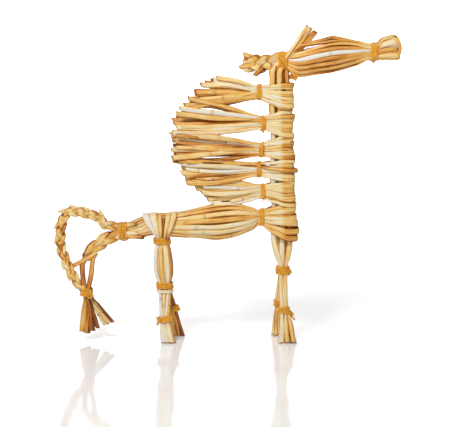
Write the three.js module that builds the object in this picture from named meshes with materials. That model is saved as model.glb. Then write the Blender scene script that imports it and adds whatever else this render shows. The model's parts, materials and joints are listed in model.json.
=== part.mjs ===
// Straw horse, folk-craft table figure: pressed and round straws, folded and bound with thread.
// Millimetres, +Z up, +X towards the muzzle, -Y the near side. Origin: middle of the base.

import * as THREE from 'three';
import { mergeVertices } from 'three/addons/utils/BufferGeometryUtils.js';

// ---------------------------------------------------------------- driving dimensions

const CLEARANCE = 0.3; // between pieces that touch on the real figure
const STRAW_SIDES = 6;
const PLAIT_SIDES = 5;

const thread = { width: 3.6, depth: 1.1, corner: 1.6, edge: 0.5 };
const ribbon = { thickness: 1.0, bendRoom: 0.2, slopeShare: 0.5 };
const SIDES = { near: -1, far: 1 };

// Straws pressed together inside a tie: how many are stacked, and the size of one of them
// along the stack and across it. A slot is room left between the near row and the far row.
const squeezed = {
  neck: { count: 3, level: 5.5, row: 5.8, slot: 0 },
  foreKnee: { count: 3, level: 2.9, row: 4.2, slot: 0 },
  foreAnkle: { count: 3, level: 2.3, row: 3.2, slot: 0 },
  throat: { count: 1, level: 2.8, row: 2.6, slot: 0 },
  mane: { count: 3, level: 3.0, row: 3.8, slot: 0 },
  chest: { count: 4, level: 2.5, row: 3.9, slot: 0 },
  bodyHip: { count: 4, level: 3.9, row: 5.0, slot: 0 },
  rump: { count: 4, level: 2.7, row: 3.4, slot: 1.5 },
  hip: { count: 4, level: 2.5, row: 3.9, slot: 0 },
  hindKnee: { count: 4, level: 2.4, row: 3.9, slot: 0 },
  hindAnkle: { count: 4, level: 2.1, row: 3.2, slot: 0 },
  poll: { count: 4, level: 2.6, row: 3.0, slot: 1.5 },
  muzzle: { count: 4, level: 2.6, row: 3.9, slot: 0 },
  tail: { count: 3, level: 2.4, row: 2.4, slot: 0 },
};

// Standing: both pairs of feet, and the neck that grows out of the fore legs.
const stance = { footSpread: 28, neckToHip: 96.6, hipToRump: 30.8 };
const neck = { foot: 80.8, lean: -1.2, bare: 8.5 };

// Bands wrapped round the neck, from the chest up. A tie sits behind the neck at each band, a
// little above or below the band's middle. `reach` and `lift` (degrees) place the lowest and
// the highest straw ends of the band's fan.
const chestBand = { height: 28.8, tieRise: 5.2, tieBehind: 7.65 };
const maneBands = [
  { height: 20.0, tieRise: 2.0, tieBehind: 7.05, reach: [41, 56], lift: [-8, 4] },
  { height: 17.6, tieRise: 0.4, tieBehind: 9.65, reach: [56, 70], lift: [-6.5, 6.5] },
  { height: 18.4, tieRise: -1.6, tieBehind: 7.65, reach: [72, 74], lift: [-2.5, 8] },
  { height: 20.0, tieRise: 0.4, tieBehind: 6.45, reach: [74, 69], lift: [-4.5, 8.5] },
  { height: 22.4, tieRise: 3.2, tieBehind: 9.25, reach: [66, 41], lift: [-6.5, 19] },
];
const fan = { straw: 3.5, farDrop: 2.2, sideSpread: 3.6 };

const barrel = { straw: 5.6, bulgeHeight: 29.6, bulgeDepth: 21.4, bulgeAt: 46, drop: 0.8 };
const hips = { drop: 5.6, rumpDrop: 10.8, tail: 7 };
const hindWrap = { width: 26.4, forward: -1.6, tieBelow: 4.95 };

const foreLeg = {
  straw: { level: 3.4, row: 3.6 },
  kneeHeight: 57.6,
  kneeForward: 0.6,
  near: { ankleHeight: 26, ankleForward: 1.8, footForward: 3.6, footWidth: 13.6 },
  far: { ankleHeight: 28.8, ankleForward: -1.6, footForward: -2.0, footWidth: 11 },
};
const hindLeg = {
  straw: { level: 2.5, row: 3.6 },
  bulge: { height: 61, level: 3.1, row: 4.4 },
  kneeHeight: 45.2,
  kneeForward: 2.0,
  near: { ankleHeight: 18.8, ankleForward: 2.4, footForward: 5.6, footWidth: 11 },
  far: { ankleHeight: 24.4, ankleForward: 7.4, footForward: 12.4, footWidth: 11 },
};

const head = {
  pollRise: 8.5, // poll tie above the top of the neck straws
  cheekRise: 0.2,
  cheekFrom: 6,
  cheekTo: 20,
  cheekHeight: 22.4,
  browForward: 41.6,
  browRise: 5.4,
  browHeight: 27.2,
  browDepth: 19,
  straw: 4.8,
  muzzleForward: 72.4,
  muzzleRise: 7.0,
  muzzleLength: 23.6,
  muzzleHeight: 18,
  muzzleDepth: 12,
  muzzleLift: 4,
};
const ears = {
  straw: 2.7,
  near: { tip: [22.4, 27], bend: [14.6, 12.4] },
  far: { tip: [28.0, 22], bend: [15.6, 11.2] },
};

const nape = { strand: [3.2, 1.8], sway: 3.7, cross: 1.8, turns: 1, hold: 8, lead: 6, tip: 3.0 };
const napeRoute = [[4, 0], [0, 0], [-4.5, 0], [-14, -2], [-24, -2.6], [-33.5, -1.0]];

const tailPlait = { strand: [2.3, 1.6], sway: 2.5, cross: 1.2, hold: 11, lead: 6 };
const tailStack = { level: 1.8, row: 2.4 };
const tailTie = { back: 30.4, drop: 50.4, sideways: 1.9 };
const upperTail = { turns: 5, rest: 6, route: [[-14, 4.6], [-21, 13], [-34, 17.4], [-45, 15.4],
  [-50.6, 6], [-51, -7], [-48.6, -18], [-44, -30], [-37, -40]] };
const lowerTail = { turns: 1, rest: 26, route: [[-12, -6.6], [-20, -11.2], [-27, -17], [-30.4, -25]] };
const tailEnds = {
  upper: [[-7.4, -31], [-4.4, -29.4], [0.4, -30.4]],
  lower: [[3.6, -31.6], [17.2, -26.4], [21.0, -23.2]],
  straw: 2.9,
};

const finishes = {
  paleStraw: { color: 0xeadcb4, roughness: 0.55, metalness: 0 },
  goldStraw: { color: 0xe0b868, roughness: 0.5, metalness: 0 },
  amberStraw: { color: 0xc9924a, roughness: 0.55, metalness: 0 },
  yarn: { color: 0xe89a22, roughness: 0.85, metalness: 0 },
};

// ---------------------------------------------------------------- small helpers

const vec = (x, y, z) => new THREE.Vector3(x, y, z);
const X = vec(1, 0, 0);
const Y = vec(0, 1, 0);
const Z = vec(0, 0, 1);
const mix = (a, b, share) => a + (b - a) * share;
const smooth = (share) => share * share * (3 - 2 * share);
const clampShare = (value) => Math.min(1, Math.max(0, value));
const radians = (degrees) => degrees * Math.PI / 180;

// Middle of straw number `index` in a row of `count`, counted from the row's own middle.
const spaced = (index, count, pitch) => (index - (count - 1) / 2) * pitch;

const levelOffset = (stack, index) => spaced(index, stack.count, stack.level + CLEARANCE);
const rowOffset = (stack) => stack.slot + CLEARANCE / 2 + stack.row / 2;
const stackHalf = (stack, rows) => ({
  along: (stack.count * (stack.level + CLEARANCE) - CLEARANCE) / 2,
  across: rows === 2 ? rowOffset(stack) + stack.row / 2 : stack.row / 2,
});

// Part of `direction` that is square to `tangent`, at unit length.
function squareTo(direction, tangent) {
  return direction.clone().addScaledVector(tangent, -direction.dot(tangent)).normalize();
}

// One point on a route: where it is, and the straw's full size along the reference
// direction and across it.
const station = (point, along, across) => ({ point, along, across });

// Point on a rounded box outline, at an angle from its first axis.
function roundedOutline(halfA, halfB, angle) {
  const power = 2 / 5;
  const a = Math.cos(angle);
  const b = Math.sin(angle);
  return [
    halfA * Math.sign(a) * Math.abs(a) ** power,
    halfB * Math.sign(b) * Math.abs(b) ** power,
  ];
}

// ---------------------------------------------------------------- pieces

// A straw: a closed tube through the stations, elliptical in section, its size blended
// from each station to the next. `flatEnds` cuts the ends level with the ground.
function strawGeometry({ stations, reference, steps = 1, sides = STRAW_SIDES, flatEnds = [] }) {
  const curve = new THREE.CatmullRomCurve3(stations.map((s) => s.point), false, 'centripetal');
  const last = stations.length - 1;
  const rings = last * steps;
  const shape = new THREE.CylinderGeometry(1, 1, 1, sides, rings);
  const position = shape.attributes.position;
  for (let i = 0; i < position.count; i += 1) {
    const share = Math.round((position.getY(i) + 0.5) * rings) / rings;
    const before = Math.min(last - 1, Math.floor(share * last));
    const blend = share * last - before;
    const from = stations[before];
    const to = stations[before + 1];
    const tangent = curve.getTangent(share);
    const along = squareTo(reference, tangent);
    const across = along.clone().cross(tangent);
    const point = curve.getPoint(share)
      .addScaledVector(along, position.getX(i) * mix(from.along, to.along, blend) / 2)
      .addScaledVector(across, position.getZ(i) * mix(from.across, to.across, blend) / 2);
    if (flatEnds.includes(share)) {
      point.addScaledVector(tangent, -point.z / tangent.z);
    }
    position.setXYZ(i, point.x, point.y, point.z);
  }
  return closed(shape);
}

// A thread winding: a band with a rounded outside, laid round a rounded box section.
function tieGeometry({ centre, axis, reference, half }) {
  const outline = tieOutline(half.along + CLEARANCE, half.across + CLEARANCE);
  const band = thread.width / 2;
  const profile = [
    new THREE.Vector2(0, -band),
    new THREE.Vector2(thread.depth * 0.8, -band + thread.edge),
    new THREE.Vector2(thread.depth, 0),
    new THREE.Vector2(thread.depth * 0.8, band - thread.edge),
    new THREE.Vector2(0, band),
    new THREE.Vector2(0, -band),
  ];
  const shape = new THREE.LatheGeometry(profile, outline.length);
  const position = shape.attributes.position;
  const along = squareTo(reference, axis);
  const across = along.clone().cross(axis).negate();
  for (let i = 0; i < position.count; i += 1) {
    const corner = outline[Math.floor(i / profile.length) % outline.length];
    const layer = profile[i % profile.length];
    const point = centre.clone()
      .addScaledVector(along, corner.a + corner.normalA * layer.x)
      .addScaledVector(across, corner.b + corner.normalB * layer.x)
      .addScaledVector(axis, layer.y);
    position.setXYZ(i, point.x, point.y, point.z);
  }
  return outwards(closed(shape));
}

// Corner points of a rounded box, each with its outward direction.
function tieOutline(halfA, halfB) {
  const radius = Math.min(thread.corner, halfA, halfB);
  const points = [];
  const arcSteps = 2;
  for (let quarter = 0; quarter < 4; quarter += 1) {
    for (let step = 0; step <= arcSteps; step += 1) {
      const angle = (quarter + step / arcSteps) * Math.PI / 2;
      const signA = quarter === 0 || quarter === 3 ? 1 : -1;
      const signB = quarter < 2 ? 1 : -1;
      points.push({
        a: signA * (halfA - radius) + radius * Math.cos(angle),
        b: signB * (halfB - radius) + radius * Math.sin(angle),
        normalA: Math.cos(angle),
        normalB: Math.sin(angle),
      });
    }
  }
  return points;
}

// Joins the shared vertices, so that the surface is closed.
function closed(shape) {
  shape.deleteAttribute('normal');
  shape.deleteAttribute('uv');
  return mergeVertices(shape, 1e-4);
}

function signedVolume(shape) {
  const position = shape.attributes.position;
  const corners = [vec(0, 0, 0), vec(0, 0, 0), vec(0, 0, 0)];
  let volume = 0;
  for (let i = 0; i < shape.index.count; i += 3) {
    corners.forEach((corner, n) => corner.fromBufferAttribute(position, shape.index.getX(i + n)));
    volume += corners[0].dot(corners[1].clone().cross(corners[2])) / 6;
  }
  return volume;
}

// Turns a closed surface so that its faces look out.
function outwards(shape) {
  if (signedVolume(shape) < 0) {
    const order = shape.index.array;
    for (let i = 0; i < order.length; i += 3) {
      [order[i], order[i + 1]] = [order[i + 1], order[i]];
    }
  }
  return shape;
}

const horse = new THREE.Group();
horse.name = 'straw_horse';

function add(name, shape, finish) {
  const mesh = new THREE.Mesh(shape, new THREE.MeshStandardMaterial(finish));
  mesh.name = name;
  horse.add(mesh);
}

function addStraw(name, finish, options) {
  add(name, outwards(strawGeometry(options)), finish);
}

function addTie(name, centre, axis, reference, stack, rows) {
  const direction = axis.clone().normalize();
  const half = stackHalf(stack, rows);
  add(name, tieGeometry({ centre, axis: direction, reference, half }), finishes.yarn);
}

// ---------------------------------------------------------------- places worked out from the sizes

const tieReach = thread.width / 2 + 1; // straws stay straight this far each side of a tie
const ribbonReach = CLEARANCE + ribbon.bendRoom + ribbon.thickness / 2;
const halfSpread = stance.footSpread / 2;
const bandsHeight = maneBands.reduce((sum, band) => sum + band.height, chestBand.height);
const neckTop = neck.foot + bandsHeight + neck.bare;
const neckX = (height) => neck.lean * (height - neck.foot) / (neckTop - neck.foot);
const neckHalf = stackHalf(squeezed.neck, 2);
const chestZ = neck.foot + chestBand.height / 2 + chestBand.tieRise;
const chestX = neckX(chestZ) - neckHalf.along - chestBand.tieBehind;
const hipX = -stance.neckToHip;
const rumpX = hipX - stance.hipToRump;
const hipZ = chestZ - hips.drop;
const hipTieZ = hipZ - stackHalf(squeezed.bodyHip, 2).along - hindWrap.tieBelow;
const rumpZ = chestZ - hips.rumpDrop;
const poll = vec(neckX(neckTop), 0, neckTop + head.pollRise);

// Stations of a ribbon folded round the front of the neck, from its near back corner to the
// far one. Ribbons leave a tie `behind` the neck at the stack's pitch and lie flat on the neck
// at the band's own pitch; on the way they slope, and are made narrower to clear each other.
function neckFold(height, stack, pitch, behind) {
  const firstShare = 0.62;
  const slope = (height.fold - height.tie) * firstShare / (behind - tieReach);
  const firstPitch = mix(stack.level + CLEARANCE, pitch, firstShare);
  const firstBreadth = (firstPitch / Math.hypot(1, slope) - CLEARANCE) * ribbon.slopeShare;
  const angles = [-148, -122, -90, -58, -32, 0, 32, 58, 90, 122, 148];
  return angles.map((angle) => {
    const [x, y] = roundedOutline(
      neckHalf.along + ribbonReach,
      neckHalf.across + ribbonReach,
      radians(angle),
    );
    const flat = smooth(clampShare((150 - Math.abs(angle)) / 50));
    const z = mix(height.tie, height.fold, mix(firstShare, 1, flat));
    const breadth = mix(firstBreadth, pitch - CLEARANCE, flat);
    return station(vec(neckX(z) + x, y, z), breadth, ribbon.thickness);
  });
}

// ---------------------------------------------------------------- neck and fore legs

// Middle line of one lower leg, from the knee to the ground.
function legLine(leg, side, kneeX, stack) {
  const form = leg[side];
  const start = vec(kneeX, SIDES[side] * rowOffset(stack), leg.kneeHeight - tieReach);
  const fall = (start.z - form.ankleHeight) / start.z;
  const ankle = vec(
    start.x - leg.kneeForward + form.ankleForward,
    mix(start.y, SIDES[side] * halfSpread, fall),
    form.ankleHeight,
  );
  const foot = vec(start.x - leg.kneeForward + form.footForward, SIDES[side] * halfSpread, 0);
  const run = foot.clone().sub(start).normalize();
  return { start, ankle, foot, run };
}

// Stations of one straw below the knee, knee first.
function lowerLeg(leg, side, kneeX, index, kneeStack, ankleStack) {
  const line = legLine(leg, side, kneeX, kneeStack);
  const ankleOffset = levelOffset(ankleStack, index);
  const above = line.ankle.clone().addScaledVector(line.run, -tieReach);
  const below = line.ankle.clone().addScaledVector(line.run, tieReach);
  const foot = line.foot.clone();
  const footPitch = leg[side].footWidth / ankleStack.count;
  foot.x += spaced(index, ankleStack.count, footPitch);
  above.x += ankleOffset;
  below.x += ankleOffset;
  return [
    station(above, ankleStack.level, ankleStack.row),
    station(below, ankleStack.level, ankleStack.row),
    station(foot, Math.min(leg.straw.level, footPitch - CLEARANCE), leg.straw.row),
  ];
}

function foreStraw(side, index, ear) {
  const y = SIDES[side] * rowOffset(squeezed.neck);
  const offset = levelOffset(squeezed.neck, index);
  const kneeOffset = levelOffset(squeezed.foreKnee, index);
  const kneeY = SIDES[side] * rowOffset(squeezed.foreKnee);
  const inNeck = (height) => station(
    vec(neckX(height) + offset, y, height),
    squeezed.neck.level,
    squeezed.neck.row,
  );
  const inKnee = (height) => station(
    vec(foreLeg.kneeForward + kneeOffset, kneeY, height),
    squeezed.foreKnee.level,
    squeezed.foreKnee.row,
  );
  const stations = [
    ...(ear ? earStations(side) : [inNeck(neckTop)]),
    inNeck(neckTop - neck.bare),
    inNeck(mix(neck.foot, neckTop, 0.5)),
    inNeck(neck.foot),
    inKnee(foreLeg.kneeHeight + tieReach),
    inKnee(foreLeg.kneeHeight - tieReach),
    ...lowerLeg(foreLeg, side, foreLeg.kneeForward, index, squeezed.foreKnee, squeezed.foreAnkle),
  ];
  return { stations, reference: X, flatEnds: [1] };
}

// The front straws of the neck run on through the head and stand out as ears, tip first.
function throatPlace() {
  return vec(poll.x + levelOffset(squeezed.neck, 2) + 1.0, 0, neckTop - 4.2);
}

function earStations(side) {
  const throat = throatPlace();
  const y = SIDES[side] * rowOffset(squeezed.throat);
  const { tip, bend } = ears[side];
  const upper = [tip, bend, [throat.x - poll.x + 1.4, -5]].map(([forward, rise]) => station(
    vec(poll.x + forward, y, poll.z + rise),
    ears.straw,
    squeezed.throat.row,
  ));
  const inThroat = [tieReach - 0.6, -tieReach + 0.6].map((rise) => station(
    vec(throat.x, y, throat.z + rise),
    squeezed.throat.level,
    squeezed.throat.row,
  ));
  return [...upper, ...inThroat];
}

function buildForeLegs() {
  const colours = [finishes.amberStraw, finishes.paleStraw, finishes.goldStraw];
  for (const side of ['near', 'far']) {
    for (let index = 0; index < 2; index += 1) {
      addStraw(`fore_straw_${side}_${index + 1}`, colours[index], foreStraw(side, index, false));
    }
    addStraw(`ear_straw_${side}`, colours[2], foreStraw(side, 2, true));
    const line = legLine(foreLeg, side, foreLeg.kneeForward, squeezed.foreKnee);
    addTie(`fore_ankle_tie_${side}`, line.ankle, line.run, X, squeezed.foreAnkle, 1);
  }
  addTie('fore_knee_tie', vec(foreLeg.kneeForward, 0, foreLeg.kneeHeight), Z, X, squeezed.foreKnee, 2);
  addTie('throat_tie', throatPlace(), Z, X, squeezed.throat, 2);
}

// ---------------------------------------------------------------- mane

// Stations inside a tie that lies across the X direction, entry and exit.
function inTie(x, side, z, stack, order) {
  const y = SIDES[side] * rowOffset(stack);
  return order.map((sign) => station(vec(x + sign * tieReach, y, z), stack.level, stack.row));
}

function maneStraw(band, tie, foldZ, index) {
  const share = index / (squeezed.mane.count - 1);
  const level = tie.z + levelOffset(squeezed.mane, index);
  const pitch = band.height / squeezed.mane.count;
  const height = { tie: level, fold: foldZ + spaced(index, squeezed.mane.count, pitch) };
  const tip = (side) => {
    const reach = mix(band.reach[0], band.reach[1], share);
    const lift = radians(mix(band.lift[0], band.lift[1], share));
    const drop = side === 'far' ? fan.farDrop : 0;
    const y = SIDES[side] * (rowOffset(squeezed.mane) + fan.sideSpread);
    return station(
      vec(tie.x - reach * Math.cos(lift), y, tie.z + reach * Math.sin(lift) - drop),
      fan.straw,
      fan.straw,
    );
  };
  return {
    stations: [
      tip('near'),
      ...inTie(tie.x, 'near', level, squeezed.mane, [-1, 1]),
      ...neckFold(height, squeezed.mane, pitch, band.tieBehind),
      ...inTie(tie.x, 'far', level, squeezed.mane, [1, -1]),
      tip('far'),
    ],
    reference: Z,
  };
}

function buildMane() {
  const colours = [finishes.amberStraw, finishes.goldStraw, finishes.paleStraw];
  let bottom = neck.foot + chestBand.height;
  maneBands.forEach((band, order) => {
    const number = maneBands.length - order;
    const foldZ = bottom + band.height / 2;
    const tie = vec(neckX(foldZ) - neckHalf.along - band.tieBehind, 0, foldZ + band.tieRise);
    for (let index = 0; index < squeezed.mane.count; index += 1) {
      const colour = colours[(index + order) % colours.length];
      addStraw(`mane_${number}_straw_${index + 1}`, colour, maneStraw(band, tie, foldZ, index));
    }
    addTie(`mane_tie_${number}`, tie, X, Z, squeezed.mane, 2);
    bottom += band.height;
  });
}

// ---------------------------------------------------------------- body

// Stations of one body straw behind the chest tie, from its cut end forwards.
function bodySide(side, index) {
  const sign = SIDES[side];
  const turn = radians(spaced(index, squeezed.chest.count, 45));
  const bulge = station(
    vec(
      chestX - barrel.bulgeAt * 0.6,
      sign * (barrel.bulgeDepth - barrel.straw) / 2 * Math.cos(turn),
      chestZ - barrel.drop + (barrel.bulgeHeight - barrel.straw) / 2 * Math.sin(turn),
    ),
    barrel.straw,
    barrel.straw,
  );
  const hipEdge = hindWrap.width / 2 + 1;
  const wrapX = hipX + hindWrap.forward;
  const atHip = [-hipEdge, hipEdge].map((reach) => station(
    vec(wrapX + reach, sign * rowOffset(squeezed.bodyHip), hipZ + levelOffset(squeezed.bodyHip, index)),
    squeezed.bodyHip.level,
    squeezed.bodyHip.row,
  ));
  const rumpLevel = rumpZ + levelOffset(squeezed.rump, index);
  const end = inTie(rumpX - hips.tail + tieReach, side, rumpLevel, squeezed.rump, [-1])[0];
  return [
    end,
    ...inTie(rumpX, side, rumpLevel, squeezed.rump, [-1, 1]),
    ...atHip,
    bulge,
    ...inTie(chestX, side, chestZ + levelOffset(squeezed.chest, index), squeezed.chest, [-1, 1]),
  ];
}

function bodyStraw(index) {
  const pitch = chestBand.height / squeezed.chest.count;
  const height = {
    tie: chestZ + levelOffset(squeezed.chest, index),
    fold: neck.foot + chestBand.height / 2 + spaced(index, squeezed.chest.count, pitch),
  };
  return {
    stations: [
      ...bodySide('near', index),
      ...neckFold(height, squeezed.chest, pitch, chestBand.tieBehind),
      ...bodySide('far', index).reverse(),
    ],
    reference: Z,
  };
}

function buildBody() {
  const colours = [finishes.goldStraw, finishes.paleStraw];
  for (let index = 0; index < squeezed.chest.count; index += 1) {
    addStraw(`body_straw_${index + 1}`, colours[index % colours.length], bodyStraw(index));
  }
  addTie('chest_tie', vec(chestX, 0, chestZ), X, Z, squeezed.chest, 2);
  addTie('rump_tie', vec(rumpX, 0, rumpZ), X, Z, squeezed.rump, 2);
}

// ---------------------------------------------------------------- hind legs

// Ribbon of a hind straw, laid over the back from the near side of the hip tie to the far one.
function hipFold(index) {
  const body = stackHalf(squeezed.bodyHip, 2);
  const pitch = hindWrap.width / squeezed.hip.count;
  const angles = [-62, -40, -12, 20, 48, 90, 132, 160, 192, 220, 242];
  return angles.map((angle) => {
    const [y, z] = roundedOutline(
      body.across + ribbonReach,
      body.along + ribbonReach,
      radians(angle),
    );
    const turnFromTie = Math.min(angle + 62, 242 - angle);
    const flat = smooth(clampShare(turnFromTie / 60));
    const spread = mix(0.55, 1, flat);
    const tieX = hipX + levelOffset(squeezed.hip, index);
    const foldX = hipX + hindWrap.forward + spaced(index, squeezed.hip.count, pitch);
    return station(
      vec(mix(tieX, foldX, spread), -y, hipZ + z),
      (pitch - CLEARANCE) * mix(0.42, 1, flat),
      ribbon.thickness,
    );
  });
}

// Upper half of one hind leg, from the knee up to the hip tie.
function upperHindLeg(side, index) {
  const sign = SIDES[side];
  const at = (x, z, stack) => station(
    vec(x + levelOffset(stack, index), sign * rowOffset(stack), z),
    stack.level,
    stack.row,
  );
  const kneeX = hipX + hindLeg.kneeForward;
  const bulge = { ...squeezed.hindKnee, level: hindLeg.bulge.level, row: hindLeg.bulge.row };
  return [
    at(kneeX, hindLeg.kneeHeight - tieReach, squeezed.hindKnee),
    at(kneeX, hindLeg.kneeHeight + tieReach, squeezed.hindKnee),
    at(mix(kneeX, hipX, 0.5), hindLeg.bulge.height, bulge),
    at(hipX, hipTieZ - tieReach, squeezed.hip),
    at(hipX, hipTieZ + thread.width / 2 + 3 * CLEARANCE, squeezed.hip),
  ];
}

function hindSide(side, index) {
  const kneeX = hipX + hindLeg.kneeForward;
  const lower = lowerLeg(hindLeg, side, kneeX, index, squeezed.hindKnee, squeezed.hindAnkle);
  return [...lower.reverse(), ...upperHindLeg(side, index)];
}

function hindStraw(index) {
  return {
    stations: [
      ...hindSide('near', index),
      ...hipFold(index),
      ...hindSide('far', index).reverse(),
    ],
    reference: X,
    flatEnds: [0, 1],
  };
}

function buildHindLegs() {
  const colours = [finishes.paleStraw, finishes.goldStraw, finishes.goldStraw, finishes.amberStraw];
  for (let index = 0; index < squeezed.hip.count; index += 1) {
    addStraw(`hind_straw_${index + 1}`, colours[index], hindStraw(index));
  }
  const kneeX = hipX + hindLeg.kneeForward;
  addTie('hip_tie', vec(hipX, 0, hipTieZ), Z, X, squeezed.hip, 2);
  addTie('hind_knee_tie', vec(kneeX, 0, hindLeg.kneeHeight), Z, X, squeezed.hindKnee, 2);
  for (const side of ['near', 'far']) {
    const line = legLine(hindLeg, side, kneeX, squeezed.hindKnee);
    addTie(`hind_ankle_tie_${side}`, line.ankle, line.run, X, squeezed.hindAnkle, 1);
  }
}

// ---------------------------------------------------------------- head

function headSide(side, index) {
  const sign = SIDES[side];
  const throat = rowOffset(squeezed.throat) + squeezed.throat.row / 2;
  const cheekY = sign * (throat + CLEARANCE * 2 + head.straw / 2);
  const turn = radians(spaced(index, squeezed.poll.count, 45));
  const pollLevel = poll.z + levelOffset(squeezed.poll, index);
  const cheekPitch = head.cheekHeight / squeezed.poll.count;
  const cheek = (forward, tall) => station(
    vec(
      poll.x + forward,
      cheekY,
      poll.z + head.cheekRise + spaced(index, squeezed.poll.count, cheekPitch * tall),
    ),
    Math.min(head.straw, cheekPitch * tall - CLEARANCE),
    head.straw,
  );
  const brow = station(
    vec(
      poll.x + head.browForward,
      sign * (head.browDepth - head.straw) / 2 * Math.cos(turn),
      poll.z + head.browRise + (head.browHeight - head.straw) / 2 * Math.sin(turn),
    ),
    head.straw,
    head.straw,
  );
  const muzzleLevel = poll.z + head.muzzleRise + levelOffset(squeezed.muzzle, index);
  return [
    ...inTie(poll.x - 1.2, side, pollLevel, squeezed.poll, [-1]),
    ...inTie(poll.x, side, pollLevel, squeezed.poll, [1]),
    cheek(head.cheekFrom, 0.6),
    cheek(head.cheekTo, 1),
    brow,
    ...inTie(poll.x + head.muzzleForward, side, muzzleLevel, squeezed.muzzle, [-1, 1]),
  ];
}

// Loop in which a head straw turns back on itself in front of the muzzle tie.
function muzzleFold(index) {
  const pitch = head.muzzleHeight / squeezed.muzzle.count;
  const breadth = pitch - CLEARANCE;
  const z = poll.z + head.muzzleRise + head.muzzleLift + spaced(index, squeezed.muzzle.count, pitch);
  const low = poll.z + head.muzzleRise + levelOffset(squeezed.muzzle, index);
  const radius = (head.muzzleDepth - ribbon.thickness * 2) / 2;
  const bendX = poll.x + head.muzzleForward + head.muzzleLength - ribbon.thickness - radius;
  const turns = [-90, -45, 0, 45, 90].map((angle) => station(
    vec(bendX + radius * Math.cos(radians(angle)), radius * Math.sin(radians(angle)), z),
    breadth,
    ribbon.thickness * 2,
  ));
  const middleX = poll.x + head.muzzleForward + head.muzzleLength * 0.36;
  const flare = (sign) => station(
    vec(middleX, sign * radius * 0.85, mix(low, z, 0.6)),
    mix(squeezed.muzzle.level, breadth, 0.6),
    ribbon.thickness * 2,
  );
  return [flare(-1), ...turns, flare(1)];
}

function buildHead() {
  const colours = [finishes.amberStraw, finishes.goldStraw, finishes.paleStraw, finishes.goldStraw];
  for (let index = 0; index < squeezed.poll.count; index += 1) {
    addStraw(`head_straw_${index + 1}`, colours[index], {
      stations: [
        ...headSide('near', index),
        ...muzzleFold(index),
        ...headSide('far', index).reverse(),
      ],
      reference: Z,
    });
  }
  const muzzleTie = vec(poll.x + head.muzzleForward, 0, poll.z + head.muzzleRise);
  addTie('muzzle_tie', muzzleTie, X, Z, squeezed.muzzle, 2);
  addTie('poll_tie', poll, X, Z, squeezed.poll, 2);
}

// ---------------------------------------------------------------- plaits

// Stations of one strand of a three-strand plait. It lies straight in a flat stack for the
// `hold` length, is plaited for a whole number of turns, and ends straight in a flat stack.
function plaitStrand({ axis, turns, number, start, finish, strand, sway, cross, hold, lead, rest = 0 }) {
  const length = axis.getLength();
  const stepsPerTurn = 9;
  const leadSteps = 2;
  const plaitFrom = hold + lead;
  const plaitTo = length - lead - rest;
  const marks = [{ at: 0, ramp: 0, phase: 0, ends: start }];
  for (let i = 0; i < leadSteps; i += 1) {
    marks.push({ at: hold + lead * i / leadSteps, ramp: i / leadSteps, phase: 0, ends: start });
  }
  for (let i = 0; i <= turns * stepsPerTurn; i += 1) {
    const share = i / (turns * stepsPerTurn);
    const phase = share * turns * 2 * Math.PI;
    marks.push({ at: mix(plaitFrom, plaitTo, share), ramp: 1, phase, ends: start });
  }
  for (let i = 1; i <= leadSteps; i += 1) {
    const ramp = 1 - i / leadSteps;
    marks.push({ at: length - rest - lead * ramp, ramp, phase: 0, ends: finish });
  }
  if (rest > 0) {
    marks.push({ at: length, ramp: 0, phase: 0, ends: finish });
  }
  return marks.map(({ at, ramp, phase, ends }) => {
    const place = at / length;
    const tangent = axis.getTangentAt(place);
    const lateral = Y.clone().cross(tangent).normalize();
    const angle = phase + number * 2 * Math.PI / 3;
    const share = smooth(ramp);
    const swing = mix(ends.pitch / Math.sin(Math.PI / 3), sway, share) * Math.sin(angle);
    const depth = mix(0, cross, share) * Math.sin(2 * angle);
    const point = axis.getPointAt(place)
      .addScaledVector(lateral, swing)
      .addScaledVector(Y, depth);
    return station(point, mix(ends.row, strand[1], share), mix(ends.level, strand[0], share));
  });
}

function routeFrom(origin, route, y) {
  return new THREE.CatmullRomCurve3(
    route.map(([x, z]) => vec(origin.x + x, y, origin.z + z)),
    false,
    'centripetal',
  );
}

function buildNapePlait() {
  const axis = routeFrom(poll, napeRoute, 0);
  const level = squeezed.poll.level;
  const row = 2 * (squeezed.poll.slot - CLEARANCE);
  const stack = { pitch: level + CLEARANCE, level, row };
  const loose = { pitch: nape.strand[0], level: nape.tip, row: nape.strand[1] };
  for (let number = 0; number < 3; number += 1) {
    addStraw(`nape_strand_${number + 1}`, finishes.goldStraw, {
      stations: plaitStrand({ axis, number, start: stack, finish: loose, ...nape }),
      reference: Y,
      sides: PLAIT_SIDES,
    });
  }
}

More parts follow.
